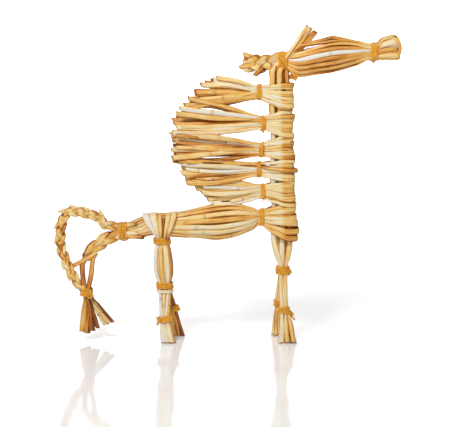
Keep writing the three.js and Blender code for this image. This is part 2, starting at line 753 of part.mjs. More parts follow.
// Strands leave the slot of the rump tie, three above three, and meet again in the tail tie.
function buildTail() {
  const pitch = tailStack.level + CLEARANCE;
  const rump = vec(rumpX, 0, rumpZ);
  const tie = vec(rumpX - tailTie.back, 0, rumpZ - tailTie.drop);
  const start = { pitch, level: tailStack.level, row: tailStack.row };
  const finish = {
    pitch: squeezed.tail.level + CLEARANCE,
    level: squeezed.tail.level,
    row: squeezed.tail.row,
  };
  const plaits = { upper: upperTail, lower: lowerTail };
  Object.entries(plaits).forEach(([name, plait]) => {
    const rise = (name === 'upper' ? 1 : -1) * 1.5 * pitch;
    const side = name === 'upper' ? 'near' : 'far';
    const y = SIDES[side] * rowOffset(squeezed.tail);
    const front = [[4.5, rise], [-1, rise], [-hips.tail, rise]];
    const route = [...front, ...plait.route].map(([x, z]) => vec(rump.x + x, 0, rump.z + z));
    const lastTwo = [vec(tie.x, y, tie.z + tieReach), vec(tie.x, y, tie.z - tieReach)];
    route.forEach((point, i) => {
      point.y = y * tailTie.sideways * smooth(i / (route.length - 1));
    });
    const points = [...route, ...lastTwo];
    const axis = new THREE.CatmullRomCurve3(points, false, 'centripetal');
    for (let number = 0; number < 3; number += 1) {
      const { turns, rest } = plait;
      const strand = plaitStrand({ axis, number, start, finish, turns, rest, ...tailPlait });
      const [x, z] = tailEnds[name][[1, 0, 2][number]];
      const end = vec(tie.x + x, y * 2.2, tie.z + z);
      addStraw(`tail_${name}_strand_${number + 1}`, finishes.goldStraw, {
        stations: [...strand, station(end, tailEnds.straw, tailEnds.straw)],
        reference: Y,
        sides: PLAIT_SIDES,
      });
    }
  });
  addTie('tail_tie', tie, Z, X, squeezed.tail, 2);
}

// ---------------------------------------------------------------- assembly

buildForeLegs();
buildMane();
buildBody();
buildHindLegs();
buildHead();
buildNapePlait();
buildTail();

// The frame's origin is the middle of the figure's base.
const box = new THREE.Box3().setFromObject(horse);
const middle = box.getCenter(new THREE.Vector3());
horse.position.set(-middle.x, -middle.y, -box.min.z);

export default horse;
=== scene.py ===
"""Looks of a straw horse: folded rye stems, bound with thread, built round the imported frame."""

import json
import logging
import math
import random
from dataclasses import dataclass, field
from enum import Enum
from typing import TypeVar

import bpy
import numpy as np
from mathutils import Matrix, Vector

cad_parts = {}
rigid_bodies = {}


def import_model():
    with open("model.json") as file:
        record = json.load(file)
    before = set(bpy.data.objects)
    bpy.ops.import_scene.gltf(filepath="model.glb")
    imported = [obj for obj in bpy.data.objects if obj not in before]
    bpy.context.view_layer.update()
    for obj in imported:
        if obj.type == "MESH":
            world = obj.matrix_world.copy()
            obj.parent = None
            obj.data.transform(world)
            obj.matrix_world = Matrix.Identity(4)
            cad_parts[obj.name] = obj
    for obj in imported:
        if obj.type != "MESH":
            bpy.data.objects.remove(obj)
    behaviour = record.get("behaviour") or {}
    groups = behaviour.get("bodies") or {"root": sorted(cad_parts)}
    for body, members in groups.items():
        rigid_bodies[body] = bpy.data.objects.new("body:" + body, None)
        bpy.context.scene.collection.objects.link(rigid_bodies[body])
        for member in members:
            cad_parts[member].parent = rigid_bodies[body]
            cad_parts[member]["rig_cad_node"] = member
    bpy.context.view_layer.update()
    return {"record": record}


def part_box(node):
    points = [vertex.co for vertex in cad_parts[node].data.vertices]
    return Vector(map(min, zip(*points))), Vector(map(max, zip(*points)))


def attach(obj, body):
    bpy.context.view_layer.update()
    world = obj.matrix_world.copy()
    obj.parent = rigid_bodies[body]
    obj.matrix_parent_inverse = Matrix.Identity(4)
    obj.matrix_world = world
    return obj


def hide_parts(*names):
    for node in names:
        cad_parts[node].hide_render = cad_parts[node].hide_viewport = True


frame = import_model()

LOG = logging.getLogger("straw_horse")
MM = 0.001
BODY = "root"
X = Vector((1, 0, 0))
Y = Vector((0, 1, 0))
Z = Vector((0, 0, 1))


# ---------------------------------------------------------------- small helpers

Blend = TypeVar("Blend", float, Vector)


def mix(a: Blend, b: Blend, share: float) -> Blend:
    """Blend of two numbers or vectors.

    Args:
        a: Value at share 0.
        b: Value at share 1.
        share: How far from the first to the second.

    Returns:
        The blend.
    """
    return a + (b - a) * share


def smooth(share: float) -> float:
    """Ease a share in and out, held between 0 and 1."""
    share = min(1.0, max(0.0, share))
    return share * share * (3 - 2 * share)


def linear(red: int, green: int, blue: int) -> tuple[float, float, float, float]:
    """Turn a display colour of 0 to 255 into the linear colour that shaders take.

    Args:
        red: Red, 0 to 255.
        green: Green, 0 to 255.
        blue: Blue, 0 to 255.

    Returns:
        The linear colour with full opacity.
    """
    channels = []
    for value in (red, green, blue):
        c = value / 255
        channels.append(c / 12.92 if c <= 0.04045 else ((c + 0.055) / 1.055) ** 2.4)
    return (*channels, 1.0)


def rounded(half_a: float, half_b: float, angle: float, power: float = 3.6) -> tuple[float, float]:
    """Point of a rounded box outline in a given direction.

    Args:
        half_a: Half size along the first axis.
        half_b: Half size along the second axis.
        angle: Direction from the first axis, in radians.
        power: How square the outline is; 2 is an ellipse.

    Returns:
        The two coordinates of the point.
    """
    a, b = math.cos(angle), math.sin(angle)
    radius = (abs(a / half_a) ** power + abs(b / half_b) ** power) ** (-1 / power)
    return radius * a, radius * b


@dataclass(frozen=True)
class Place:
    """Middle and half sizes of a CAD node, in millimetres."""

    middle: Vector
    half: Vector

    @classmethod
    def of(cls, node: str) -> "Place":
        """Read a node's place from the frame."""
        low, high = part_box(node)
        return cls((low + high) / 2 / MM, (high - low) / 2 / MM)


# ---------------------------------------------------------------- finishes


class Tree:
    """A material's node tree, with short calls for the nodes that the finishes share."""

    def __init__(self, name: str) -> None:
        """Start an empty material with an output and a surface shader.

        Args:
            name: The material's name.
        """
        self.material = bpy.data.materials.new(name)
        self.material.use_nodes = True
        self.nodes = self.material.node_tree.nodes
        self.links = self.material.node_tree.links
        self.nodes.clear()
        self.output = self.nodes.new("ShaderNodeOutputMaterial")
        self.surface = self.nodes.new("ShaderNodeBsdfPrincipled")
        self.links.new(self.surface.outputs[0], self.output.inputs[0])

    def node(self, kind: str, **settings: object) -> bpy.types.Node:
        """Add a node; settings name its properties, or its sockets by number as in0, in1.

        Args:
            kind: Node type, without its common first word.
            settings: Properties or numbered sockets.

        Returns:
            The new node.
        """
        made = self.nodes.new("ShaderNode" + kind)
        for key, value in settings.items():
            if key.startswith("in") and key[2:].isdigit():
                made.inputs[int(key[2:])].default_value = value
            else:
                setattr(made, key, value)
        return made

    def link(self, source: bpy.types.NodeSocket, target: bpy.types.NodeSocket) -> None:
        """Join two sockets."""
        self.links.new(source, target)

    def attribute(self, name: str) -> bpy.types.Node:
        """Read a value that the mesh carries at each point."""
        return self.node("Attribute", attribute_name=name)

    def noise(self, vector: bpy.types.NodeSocket, scale: float, detail: float = 3.0) -> bpy.types.NodeSocket:
        """Soft noise over the given space.

        Args:
            vector: The space the noise fills.
            scale: How fine it is.
            detail: How many finer layers it has.

        Returns:
            The noise's value.
        """
        made = self.node("TexNoise")
        made.inputs["Scale"].default_value = scale
        made.inputs["Detail"].default_value = detail
        self.link(vector, made.inputs["Vector"])
        return made.outputs["Fac"]

    def math(self, operation: str, first: object, second: object = 0.5) -> bpy.types.NodeSocket:
        """Arithmetic on two sockets or numbers.

        Args:
            operation: The kind of sum.
            first: First socket or number.
            second: Second socket or number.

        Returns:
            The result.
        """
        made = self.node("Math", operation=operation)
        for socket, value in zip(made.inputs, (first, second)):
            if isinstance(value, bpy.types.NodeSocket):
                self.link(value, socket)
            else:
                socket.default_value = value
        return made.outputs[0]

    def ranged(self, value: bpy.types.NodeSocket, low: float, high: float, to_low: float,
               to_high: float) -> bpy.types.NodeSocket:
        """Map a value from one range to another, clamped.

        Args:
            value: The value to map.
            low: Start of its range.
            high: End of its range.
            to_low: Result at the start.
            to_high: Result at the end.

        Returns:
            The mapped value.
        """
        made = self.node("MapRange", in1=low, in2=high, in3=to_low, in4=to_high)
        self.link(value, made.inputs[0])
        return made.outputs[0]

    def blended(self, share: object, first: object, second: object, how: str = "MIX") -> bpy.types.NodeSocket:
        """Mix two colours by a share.

        Args:
            share: How much of the second colour.
            first: First colour.
            second: Second colour.
            how: Blend kind.

        Returns:
            The mixed colour.
        """
        made = self.node("Mix", data_type="RGBA", blend_type=how)
        for socket, value in zip((made.inputs[0], made.inputs[6], made.inputs[7]), (share, first, second)):
            if isinstance(value, bpy.types.NodeSocket):
                self.link(value, socket)
            else:
                socket.default_value = value
        return made.outputs[2]


@dataclass(frozen=True)
class StrawFinish:
    """Dry rye straw: lengthways fibre, waxy skin, brown joints, and painted shade inside the hollow cut ends.
    """

    name: str
    shift: float
    roughness: float = 0.42

    RAMP = (
        (0.00, linear(244, 240, 232)),
        (0.14, linear(254, 238, 198)),
        (0.32, linear(253, 223, 158)),
        (0.50, linear(247, 197, 104)),
        (0.68, linear(226, 150, 54)),
        (0.84, linear(178, 98, 28)),
        (1.00, linear(104, 56, 18)),
    )

    def build(self) -> bpy.types.Material:
        """Make the material.

        Returns:
            The finished straw material, driven by the values each stem's mesh carries.
        """
        tree = Tree(self.name)
        fibre = tree.attribute("fibre").outputs["Vector"]
        tone = tree.attribute("tone").outputs["Fac"]
        ring = tree.attribute("joint").outputs["Fac"]
        inside = tree.attribute("inside").outputs["Fac"]
        streak = tree.noise(fibre, 1.7, 4.0)
        fine = tree.noise(fibre, 5.5, 2.0)
        place = tree.node("TexCoord").outputs["Object"]
        patch = tree.noise(place, 55.0, 3.0)
        speck = tree.noise(place, 900.0, 1.0)
        varied = tree.math("ADD", tone, tree.ranged(streak, 0.3, 0.7, -0.15, 0.17))
        varied = tree.math("ADD", varied, tree.ranged(patch, 0.3, 0.7, -0.10, 0.12))
        varied = tree.math("ADD", varied, tree.ranged(fine, 0.55, 0.75, 0.0, 0.12))
        varied = tree.math("ADD", varied, self.shift)
        ramp = tree.node("ValToRGB")
        elements = ramp.color_ramp.elements
        while len(elements) < len(self.RAMP):
            elements.new(0.5)
        for element, (position, colour) in zip(elements, self.RAMP):
            element.position = position
            element.color = colour
        tree.link(varied, ramp.inputs[0])
        colour = ramp.outputs["Color"]
        specks = tree.ranged(speck, 0.69, 0.74, 0.0, 0.5)
        colour = tree.blended(specks, colour, linear(176, 118, 56))
        colour = tree.blended(tree.math("MULTIPLY", ring, 0.5), colour, linear(168, 112, 58))
        # Painted shade: the hollow inside a cut end is drawn dark brown, darkest furthest in.
        colour = tree.blended(tree.math("MULTIPLY", inside, 0.85), colour, linear(112, 66, 26))
        surface = tree.surface
        tree.link(colour, surface.inputs["Base Color"])
        rough = tree.ranged(streak, 0.3, 0.7, self.roughness - 0.08, self.roughness + 0.16)
        tree.link(rough, surface.inputs["Roughness"])
        surface.inputs["Specular IOR Level"].default_value = 0.42
        surface.inputs["Subsurface Weight"].default_value = 0.12
        surface.inputs["Subsurface Radius"].default_value = (1.0, 0.55, 0.2)
        surface.inputs["Subsurface Scale"].default_value = 0.0015
        ridge = tree.math("ADD", tree.math("MULTIPLY", streak, 0.7), tree.math("MULTIPLY", fine, 0.5))
        bump = tree.node("Bump")
        bump.inputs["Strength"].default_value = 0.55
        bump.inputs["Distance"].default_value = 0.00035
        tree.link(ridge, bump.inputs["Height"])
        tree.link(bump.outputs[0], surface.inputs["Normal"])
        return tree.material


@dataclass(frozen=True)
class ThreadFinish:
    """Orange-yellow cotton thread, two plies, matt."""

    name: str = "thread_cotton"

    def build(self) -> bpy.types.Material:
        """Make the material.

        Returns:
            The thread material.
        """
        tree = Tree(self.name)
        fibre = tree.attribute("fibre").outputs["Vector"]
        twist = tree.noise(fibre, 3.0, 3.0)
        patch = tree.noise(tree.node("TexCoord").outputs["Object"], 240.0, 2.0)
        warm = tree.blended(tree.ranged(patch, 0.35, 0.65, 0.0, 1.0), linear(252, 200, 56),
            linear(248, 166, 28))
        colour = tree.blended(tree.ranged(twist, 0.5, 0.8, 0.0, 0.3), warm, linear(230, 136, 16))
        # Painted shade: the grooves between the two plies are drawn a deeper orange.
        groove = tree.attribute("tone").outputs["Fac"]
        colour = tree.blended(tree.math("MULTIPLY", groove, 0.42), colour, linear(196, 98, 10))
        tree.link(colour, tree.surface.inputs["Base Color"])
        tree.link(tree.ranged(twist, 0.3, 0.7, 0.62, 0.86), tree.surface.inputs["Roughness"])
        tree.surface.inputs["Sheen Weight"].default_value = 0.25
        bump = tree.node("Bump")
        bump.inputs["Strength"].default_value = 0.6
        bump.inputs["Distance"].default_value = 0.0002
        tree.link(twist, bump.inputs["Height"])
        tree.link(bump.outputs[0], tree.surface.inputs["Normal"])
        return tree.material


@dataclass
class Finishes:
    """The horse's materials, one for each of the record's slots."""

    straw_pale: bpy.types.Material = field(init=False)
    straw_gold: bpy.types.Material = field(init=False)
    straw_amber: bpy.types.Material = field(init=False)
    thread: bpy.types.Material = field(init=False)

    def __post_init__(self) -> None:
        """Build all four."""
        self.straw_pale = StrawFinish("straw_pale", -0.04).build()
        self.straw_gold = StrawFinish("straw_gold", 0.02).build()
        self.straw_amber = StrawFinish("straw_amber", 0.06).build()
        self.thread = ThreadFinish().build()

    def dress(self, piece: bpy.types.Object, node: str) -> None:
        """Give a piece the finish of the CAD node it stands for, and set it riding.

        Args:
            piece: The new mesh object.
            node: The CAD node it replaces.
        """
        slot = SLOT_OF[node]
        piece.data.materials.append(getattr(self, slot))
        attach(piece, BODY)
        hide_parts(node)


SLOT_OF = {part["node"]: part["material_slot"] for part in frame["record"]["subparts"]}


# ---------------------------------------------------------------- stems


class Cut(Enum):
    """How a stem ends."""

    HIDDEN = "tucked in under a tie"
    OPEN = "cut across, hollow"
    SLANTED = "cut at a slant, hollow"
    FLAT = "cut level with the ground, hollow"


@dataclass(frozen=True)
class Knot:
    """One place on a stem's route, in millimetres.

    The stem is `wide` across and `thick` through, `out` is the way its broad face looks, and
    `dark` makes it darker there: painted shade at some places, browner straw at others.
    """

    at: Vector
    out: Vector
    wide: float
    thick: float
    dark: float = 0.0


@dataclass
class Stem:
    """One straw, whole or pressed flat."""

    knots: list[Knot]
    tone: float = 0.4
    seed: int = 0
    start: Cut = Cut.HIDDEN
    end: Cut = Cut.HIDDEN
    joints: tuple[float, ...] = ()
    wobble: float = 0.25
    groove: float = 0.0
    crisp: bool = False


class StemMesh:
    """Gathers stems into one mesh."""

    SIDES = 12
    STEP = 1.8
    INSIDE_DEPTH = 5.0
    WALL = 0.70
    # Painted shade: how much darker each stem is drawn towards its two edges, where a round stem turns away
    # from the light.
    EDGE_DARK = 0.48

    def __init__(self) -> None:
        """Start with no surface."""
        self.points: list[np.ndarray] = []
        self.faces: list[tuple[int, ...]] = []
        self.fibre: list[np.ndarray] = []
        self.tone: list[np.ndarray] = []
        self.joint: list[np.ndarray] = []
        self.inside: list[np.ndarray] = []
        self.count = 0

    def _route(self, stem: Stem) -> tuple[np.ndarray, ...]:
        """Follow a stem's knots at even steps.

        Args:
            stem: The stem to follow.

        Returns:
            Points, tangents, outward directions, sections (width, thickness, darkness) and
            distances along.
        """
        at = np.array([k.at for k in stem.knots], float)
        out = np.array([k.out for k in stem.knots], float)
        sizes = np.array([[k.wide, k.thick, k.dark] for k in stem.knots], float)
        chord = np.linalg.norm(np.diff(at, axis=0), axis=1)
        marks = np.concatenate([[0], np.cumsum(np.maximum(chord, 1e-6))])
        slopes = np.zeros_like(at)
        slopes[1:-1] = (at[2:] - at[:-2]) / (marks[2:] - marks[:-2])[:, None]
        slopes[0] = (at[1] - at[0]) / chord[0]
        slopes[-1] = (at[-1] - at[-2]) / chord[-1]
        count = max(len(at), int(marks[-1] / self.STEP) + 2)
        where = np.linspace(0, marks[-1], count)
        if stem.crisp:
            where = np.unique(np.concatenate([where, marks]))
        index = np.clip(np.searchsorted(marks, where, side="right") - 1, 0, len(at) - 2)
        span = marks[index + 1] - marks[index]
        u = ((where - marks[index]) / span)[:, None]
        h = span[:, None]
        a, b = at[index], at[index + 1]
        if stem.crisp:
            points = a + (b - a) * u
        else:
            points = (
                (2 * u**3 - 3 * u**2 + 1) * a
                + (u**3 - 2 * u**2 + u) * h * slopes[index]
                + (3 * u**2 - 2 * u**3) * b
                + (u**3 - u**2) * h * slopes[index + 1]
            )
        normals = out[index] * (1 - u) + out[index + 1] * u
        ease = 3 * u**2 - 2 * u**3
        section = sizes[index] * (1 - ease) + sizes[index + 1] * ease
        tangents = np.gradient(points, axis=0)
        tangents /= np.linalg.norm(tangents, axis=1)[:, None]
        normals -= (normals * tangents).sum(1)[:, None] * tangents
        normals /= np.maximum(np.linalg.norm(normals, axis=1)[:, None], 1e-9)
        return points, tangents, normals, section, where

    def add(self, stem: Stem) -> None:
        """Add one stem's surface.

        Args:
            stem: The stem to build.
        """
        dice = random.Random(stem.seed * 7919 + 13)
        points, tangents, normals, section, along = self._route(stem)
        wide, thick, dark = section.T
        phase = [dice.uniform(0, 6.28) for _ in range(4)]
        pace = dice.uniform(0.09, 0.15)
        sway = stem.wobble * np.minimum(1, thick / 2.0)
        ends = np.minimum(1, np.minimum(along, along[-1] - along) / 12.0)
        sideways = np.cross(tangents, normals)
        points = points + normals * (np.sin(along * pace + phase[0]) * sway * ends * 0.5)[:, None]
        points = points + sideways * (np.sin(along * pace * 0.8 + phase[1]) * sway * ends)[:, None]
        wide = wide * (1 + 0.06 * np.sin(along * 0.21 + phase[2]))
        thick = thick * (1 + 0.07 * np.sin(along * 0.17 + phase[3]))
        ring = np.zeros(len(along))
        for mark in stem.joints:
            offset = along - mark * along[-1]
            ring = np.maximum(ring, np.exp(-((offset / 0.9) ** 2)))
        swell = 1 + 0.12 * ring
        wide, thick = wide * swell, thick * swell
        angles = np.arange(self.SIDES) * 2 * math.pi / self.SIDES
        cos, sin = np.cos(angles), np.sin(angles)
        dip = 1 - stem.groove * np.exp(-((cos / 0.3) ** 2))
        rings = (
            points[:, None, :]
            + sideways[:, None, :] * (wide[:, None] * cos[None, :] / 2)[:, :, None]
            + normals[:, None, :] * (thick[:, None] * (sin * dip)[None, :] / 2)[:, :, None]
        )
        offset = Vector((dice.uniform(0, 90), dice.uniform(0, 90), dice.uniform(0, 90)))
        fibre = np.zeros(rings.shape)
        fibre[:, :, 0] = (wide[:, None] * cos[None, :]) * 0.55 + offset.x
        fibre[:, :, 1] = (thick[:, None] * sin[None, :]) * 0.55 + offset.y
        fibre[:, :, 2] = along[:, None] * 0.035 + offset.z
        drift = 0.05 * np.sin(along * 0.05 + phase[0])
        # Painted shade: darker towards the stem's two edges and along the crease of a grooved stem, where
        # shade would fall.
        edge_and_crease_shade = self.EDGE_DARK * np.abs(cos) ** 4 + 0.10 * np.exp(-((cos / 0.3) ** 2)) * (stem.groove > 0.2)
        tone = (stem.tone + drift + dark)[:, None] + edge_and_crease_shade[None, :]
        joint = np.repeat(ring[:, None], self.SIDES, axis=1)
        inside = np.zeros_like(tone)
        sheets = [[rings], [fibre], [tone], [joint], [inside]]
        for cut, last in ((stem.start, False), (stem.end, True)):
            self._end(sheets, cut, last, dice, points, tangents)
        rings, fibre, tone, joint, inside = [np.concatenate(sheet) for sheet in sheets]
        self._store(rings, fibre, tone, joint, inside)

    def _end(self, sheets: list, cut: Cut, last: bool, dice: random.Random,
             points: np.ndarray, tangents: np.ndarray) -> None:
        """Shape one end of a stem and, on a cut end, turn the wall into the hollow.

        Args:
            sheets: Rows of points and of the values they carry, changed in place.
            cut: How the stem ends.
            last: True for the end of the route, False for its start.
            dice: The stem's own random numbers.
            points: The stem's middle line.
            tangents: Directions along it.
        """
        if cut is Cut.HIDDEN:
            return
        edge = -1 if last else 0
        outward = tangents[edge] * (1 if last else -1)
        centre = points[edge]
        base = sheets[0][-1 if last else 0]
        rim = base[edge].copy()
        if cut is Cut.FLAT:
            level = np.maximum(0.0, 1.4 * (centre[1] - rim[:, 1]))
            rim += outward * ((level - rim[:, 2]) / outward[2])[:, None]
        else:
            lean = dice.uniform(0.4, 1.1) if cut is Cut.SLANTED else dice.uniform(-0.25, 0.25)
            across = rim - centre
            lead = across[:, 2] + 0.4 * across[:, 0]
            facing = across[:, 1] * (0.9 if cut is Cut.OPEN else 0.55)
            ragged = np.array([dice.uniform(-0.22, 0.22) for _ in range(len(rim))])
            rim += outward * (lead * lean * 0.5 + facing + ragged)[:, None]
        base[edge] = rim
        inner = []
        for depth in (0.0, 0.9, self.INSIDE_DEPTH):
            ring = centre + (rim - centre) * self.WALL - outward * depth
            inner.append(ring if depth else ring - outward * 0.05)
        rows = np.array(inner if last else inner[::-1])
        source = [sheet[-1 if last else 0][edge] for sheet in sheets]
        for number, sheet in enumerate(sheets):
            if number == 0:
                extra = rows
            elif number == 4:
                # Painted shade inside the hollow, darker the deeper in.
                shades = [0.35, 0.8, 1.0]
                shades = shades if last else shades[::-1]
                extra = np.array([np.full(self.SIDES, s) for s in shades])
            else:
                extra = np.array([source[number]] * len(rows))
            sheet.insert(len(sheet) if last else 0, extra)

    def _store(self, rings: np.ndarray, fibre: np.ndarray, tone: np.ndarray,
               joint: np.ndarray, inside: np.ndarray) -> None:
        """Turn rows of points into faces, with a cap at each end.

        Args:
            rings: Points, one row for each step along.
            fibre: The fibre space at each point.
            tone: How dark the straw is at each point, painted shade at edges, creases and thread grooves
                included.
            joint: How near a growth joint each point is.
            inside: How far inside the hollow each point is; the finish paints it as shade.
        """
        rows, sides = rings.shape[:2]
        first = self.count
        for row in range(rows - 1):
            for side in range(sides):
                here = first + row * sides + side
                turn = first + row * sides + (side + 1) % sides
                self.faces.append((here, here + sides, turn + sides, turn))
        self.faces.append(tuple(first + side for side in range(sides)))
        self.faces.append(tuple(first + (rows - 1) * sides + side for side in range(sides))[::-1])
        self.points.append(rings.reshape(-1, 3))
        self.fibre.append(fibre.reshape(-1, 3))
        self.tone.append(tone.reshape(-1))
        self.joint.append(joint.reshape(-1))
        self.inside.append(inside.reshape(-1))
        self.count += rows * sides

    def build(self, name: str) -> bpy.types.Object:
        """Make the object.

        Args:
            name: The piece's name.

        Returns:
            The new mesh object, with the values its finish reads.
        """
        mesh = bpy.data.meshes.new(name)
        points = np.concatenate(self.points) * MM
        points[:, 2] = np.maximum(points[:, 2], 0.0)
        mesh.from_pydata(points.tolist(), [], self.faces)
        for label, rows in (("tone", self.tone), ("joint", self.joint), ("inside", self.inside)):
            values = mesh.attributes.new(label, "FLOAT", "POINT")
            values.data.foreach_set("value", np.concatenate(rows).astype(np.float32))
        space = mesh.attributes.new("fibre", "FLOAT_VECTOR", "POINT")
        space.data.foreach_set("vector", np.concatenate(self.fibre).astype(np.float32).ravel())
        mesh.polygons.foreach_set("use_smooth", [len(f) == 4 for f in self.faces])
        mesh.update()
        mesh.validate()
        piece = bpy.data.objects.new(name, mesh)
        bpy.context.scene.collection.objects.link(piece)
        return piece


# ---------------------------------------------------------------- thread ties


@dataclass
class Winding:
    """Thread wound round a bundle several times and knotted."""

    node: str
    axis: Vector
    reference: Vector
    turns: int = 5
    radius: float = 0.46
    knot_angle: float = -1.57
    tails: tuple[float, ...] = ()
    diagonal: bool = False
    spread: float = 1.0
    linked_to: str = ""
    tighten: float = 0.0

    SIDES = 8
    PLY_PITCH = 2.6

    def _outline(self, place: Place, angle: float, lift: float) -> Vector:
        """Point on the bundle's surface, `lift` millimetres out.

        Args:
            place: Middle and size of the CAD tie.
            angle: Direction round the bundle.
            lift: Distance out from the bundle.

        Returns:
            The offset from the tie's middle.
        """
        axis = self.axis.normalized()
        along = (self.reference - axis * self.reference.dot(axis)).normalized()
        across = axis.cross(along)
        half_a, half_b = self._halves(place, axis, along, across)
        a, b = rounded(half_a, half_b, angle)
        point = along * a + across * b
        return point + point.normalized() * lift

    def _halves(self, place: Place, axis: Vector, along: Vector, across: Vector) -> tuple[float, float]:
        """Half sizes of the bundle inside the CAD band, across its axis.

        Args:
            place: The CAD band's place.
            axis: Direction along the bundle.
            along: First direction across it.
            across: Second direction across it; not used.

        Returns:
            The two half sizes.
        """
        tilt = 1.8 * abs(axis.dot(Y)) if abs(axis.dot(X)) < 0.9 else 0.0
        half_a = abs(along.dot(place.half)) if abs(along.x) > 0.9 or abs(along.z) > 0.9 else place.half.x
        half_b = place.half.y - tilt
        return half_a - 1.1 - self.tighten, half_b - 1.1 - self.tighten * 0.5

    def build(self, finishes: Finishes) -> bpy.types.Object:
        """Wind, knot and dress the thread.

        Args:
            finishes: The horse's materials.

        Returns:
            The tie's piece.
        """
        place = Place.of(self.node)
        dice = random.Random(sum(ord(c) for c in self.node))
        axis = self.axis.normalized()
        width = 3.4 * self.spread
        mesh = StemMesh()
        mesh.SIDES = self.SIDES
        path = []
        steps = 22
        total = self.turns * steps
        for i in range(total + 1):
            share = i / total
            angle = self.knot_angle + share * self.turns * 2 * math.pi
            slide = (share - 0.5) * width + 0.12 * math.sin(angle * 1.7 + dice.random())
            lift = self.radius * 0.9 + 0.26 * math.sin(angle * 0.37 + 1.3)
            path.append(place.middle + self._outline(place, angle, lift) + axis * slide)
        self._thread(mesh, path, dice)
        crossings = 2 if self.diagonal else 1
        for number in range(crossings):
            lean = (-1) ** number
            path = []
            for i in range(steps + 1):
                share = i / steps
                angle = self.knot_angle + lean * share * 2 * math.pi
                slide = lean * (share - 0.5) * width * 1.1
                lift = self.radius * 2.1
                path.append(place.middle + self._outline(place, angle, lift) + axis * slide)
            self._thread(mesh, path, dice)
        self._knot(mesh, place, dice)
        if self.linked_to:
            self._link(mesh, place, Place.of(self.linked_to), dice)
        piece = mesh.build(self.node + "_thread")
        finishes.dress(piece, self.node)
        return piece

    def _knot(self, mesh: StemMesh, place: Place, dice: random.Random) -> None:
        """Tie the knot and leave its two cut tails.

        Args:
            mesh: The tie's surface.
            place: Middle and size of the CAD tie.
            dice: The tie's own random numbers.
        """
        axis = self.axis.normalized()
        centre = place.middle + self._outline(place, self.knot_angle, self.radius * 2.2)
        out = (centre - place.middle).normalized()
        side = axis.cross(out).normalized()
        for size in (1.0, 1.6):
            loop = []
            for i in range(25):
                t = i / 24 * 2 * math.pi
                loop.append(
                    centre
                    + side * (0.75 * math.sin(t) + 0.4 * math.sin(2 * t)) * size
                    + axis * (0.7 * math.cos(t) - 0.4 * math.cos(2 * t)) * size
                    + out * (0.3 * math.sin(3 * t) + 0.4 * (size - 1))
                )
            self._thread(mesh, loop, dice)
        for number, reach in enumerate(self.tails):
            length, lean = abs(reach), math.copysign(1, reach)
            tail = []
            for i in range(9):
                t = i / 8
                tail.append(
                    centre
                    + side * (lean * length * t)
                    + axis * (0.3 * math.sin(t * 3.0 + number) * length * 0.3)
                    - Z * (t * length * (0.35 + 0.45 * (number % 2)) + t * t * length * 0.15)
                    + out * (0.6 * t)
                )
            self._thread(mesh, tail, dice)

    def _link(self, mesh: StemMesh, place: Place, other: Place, dice: random.Random) -> None:
        """Run the thread slantwise over to another tie, several times, and knot it there.

        Args:
            mesh: The tie's surface.
            place: Middle and size of this tie.
            other: Middle and size of the other tie.
            dice: The tie's own random numbers.
        """
        for sign in (-1, 1):
            for run in range(6):
                top = other.middle + Vector((-3.4 + 1.1 * run, sign * (other.half.y + 1.4), 4.4 - 1.5 * run))
                low = place.middle + Vector((1.6 + 0.45 * run, sign * (place.half.y + 2.6), 1.4 - 0.6 * run))
                path = []
                for i in range(13):
                    t = i / 12
                    arch = math.sin(t * math.pi)
                    path.append(mix(top, low,
                        t) + Vector((0.3 * arch, sign * (1.5 * arch + 0.4), 0.5 * arch)))
                self._thread(mesh, path, dice)
            centre = place.middle + Vector((3.6, sign * (place.half.y + 3.0), -0.6))
            for turn in range(3):
                ring = []
                for i in range(17):
                    t = i / 16 * 2 * math.pi
                    ring.append(centre + Vector((
                        1.2 * math.cos(t) + 0.3 * turn, sign * (0.5 * math.sin(2 * t) - 0.2 * turn),
                        1.5 * math.sin(t) + 0.6 * turn,
                    )))
                self._thread(mesh, ring, dice)

    def _thread(self, mesh: StemMesh, path: list[Vector], dice: random.Random) -> None:
        """Add one run of two-ply thread along a path.

        Args:
            mesh: The tie's surface.
            path: Points that the thread follows.
            dice: The tie's own random numbers.
        """
        points = np.array(path, float)
        tangents = np.gradient(points, axis=0)
        tangents /= np.linalg.norm(tangents, axis=1)[:, None]
        guide = np.array(self.axis.normalized(), float)
        normals = guide - (tangents @ guide)[:, None] * tangents
        normals /= np.maximum(np.linalg.norm(normals, axis=1)[:, None], 1e-9)
        sideways = np.cross(tangents, normals)
        along = np.concatenate([[0], np.cumsum(np.linalg.norm(np.diff(points, axis=0), axis=1))])
        angles = np.arange(self.SIDES) * 2 * math.pi / self.SIDES
        ply = 2 * math.pi * along / self.PLY_PITCH
        radius = self.radius * (1 + 0.16 * np.cos(2 * (angles[None, :] - ply[:, None])))
        rings = (
            points[:, None, :]
            + sideways[:, None, :] * (radius * np.cos(angles))[:, :, None]
            + normals[:, None, :] * (radius * np.sin(angles))[:, :, None]
        )
        fibre = np.zeros(rings.shape)
        twist = angles[None, :] - ply[:, None]
        fibre[:, :, 0] = np.cos(twist) * 0.8 + dice.uniform(0, 50)
        fibre[:, :, 1] = np.sin(twist) * 0.8
        fibre[:, :, 2] = along[:, None] * 0.1
        flat = np.zeros(rings.shape[:2])
        # Painted shade between the plies, passed on as the thread's tone.
        groove = 0.5 - 0.5 * np.cos(2 * twist)
        mesh._store(rings, fibre, groove, flat, flat)


# ---------------------------------------------------------------- the horse's sub-assemblies


class Side(Enum):
    """Side of the horse, as a sign along Y."""

    near = -1
    far = 1


def knot(x: float, y: float, z: float, out: Vector, wide: float, thick: float, dark: float = 0.0) -> Knot:
    """Short way to write a place on a route."""
    return Knot(Vector((x, y, z)), out, wide, thick, dark)


def spaced(index: int, count: int, pitch: float) -> float:
    """Offset of one of `count` evenly spaced things from their middle."""
    return (index - (count - 1) / 2) * pitch


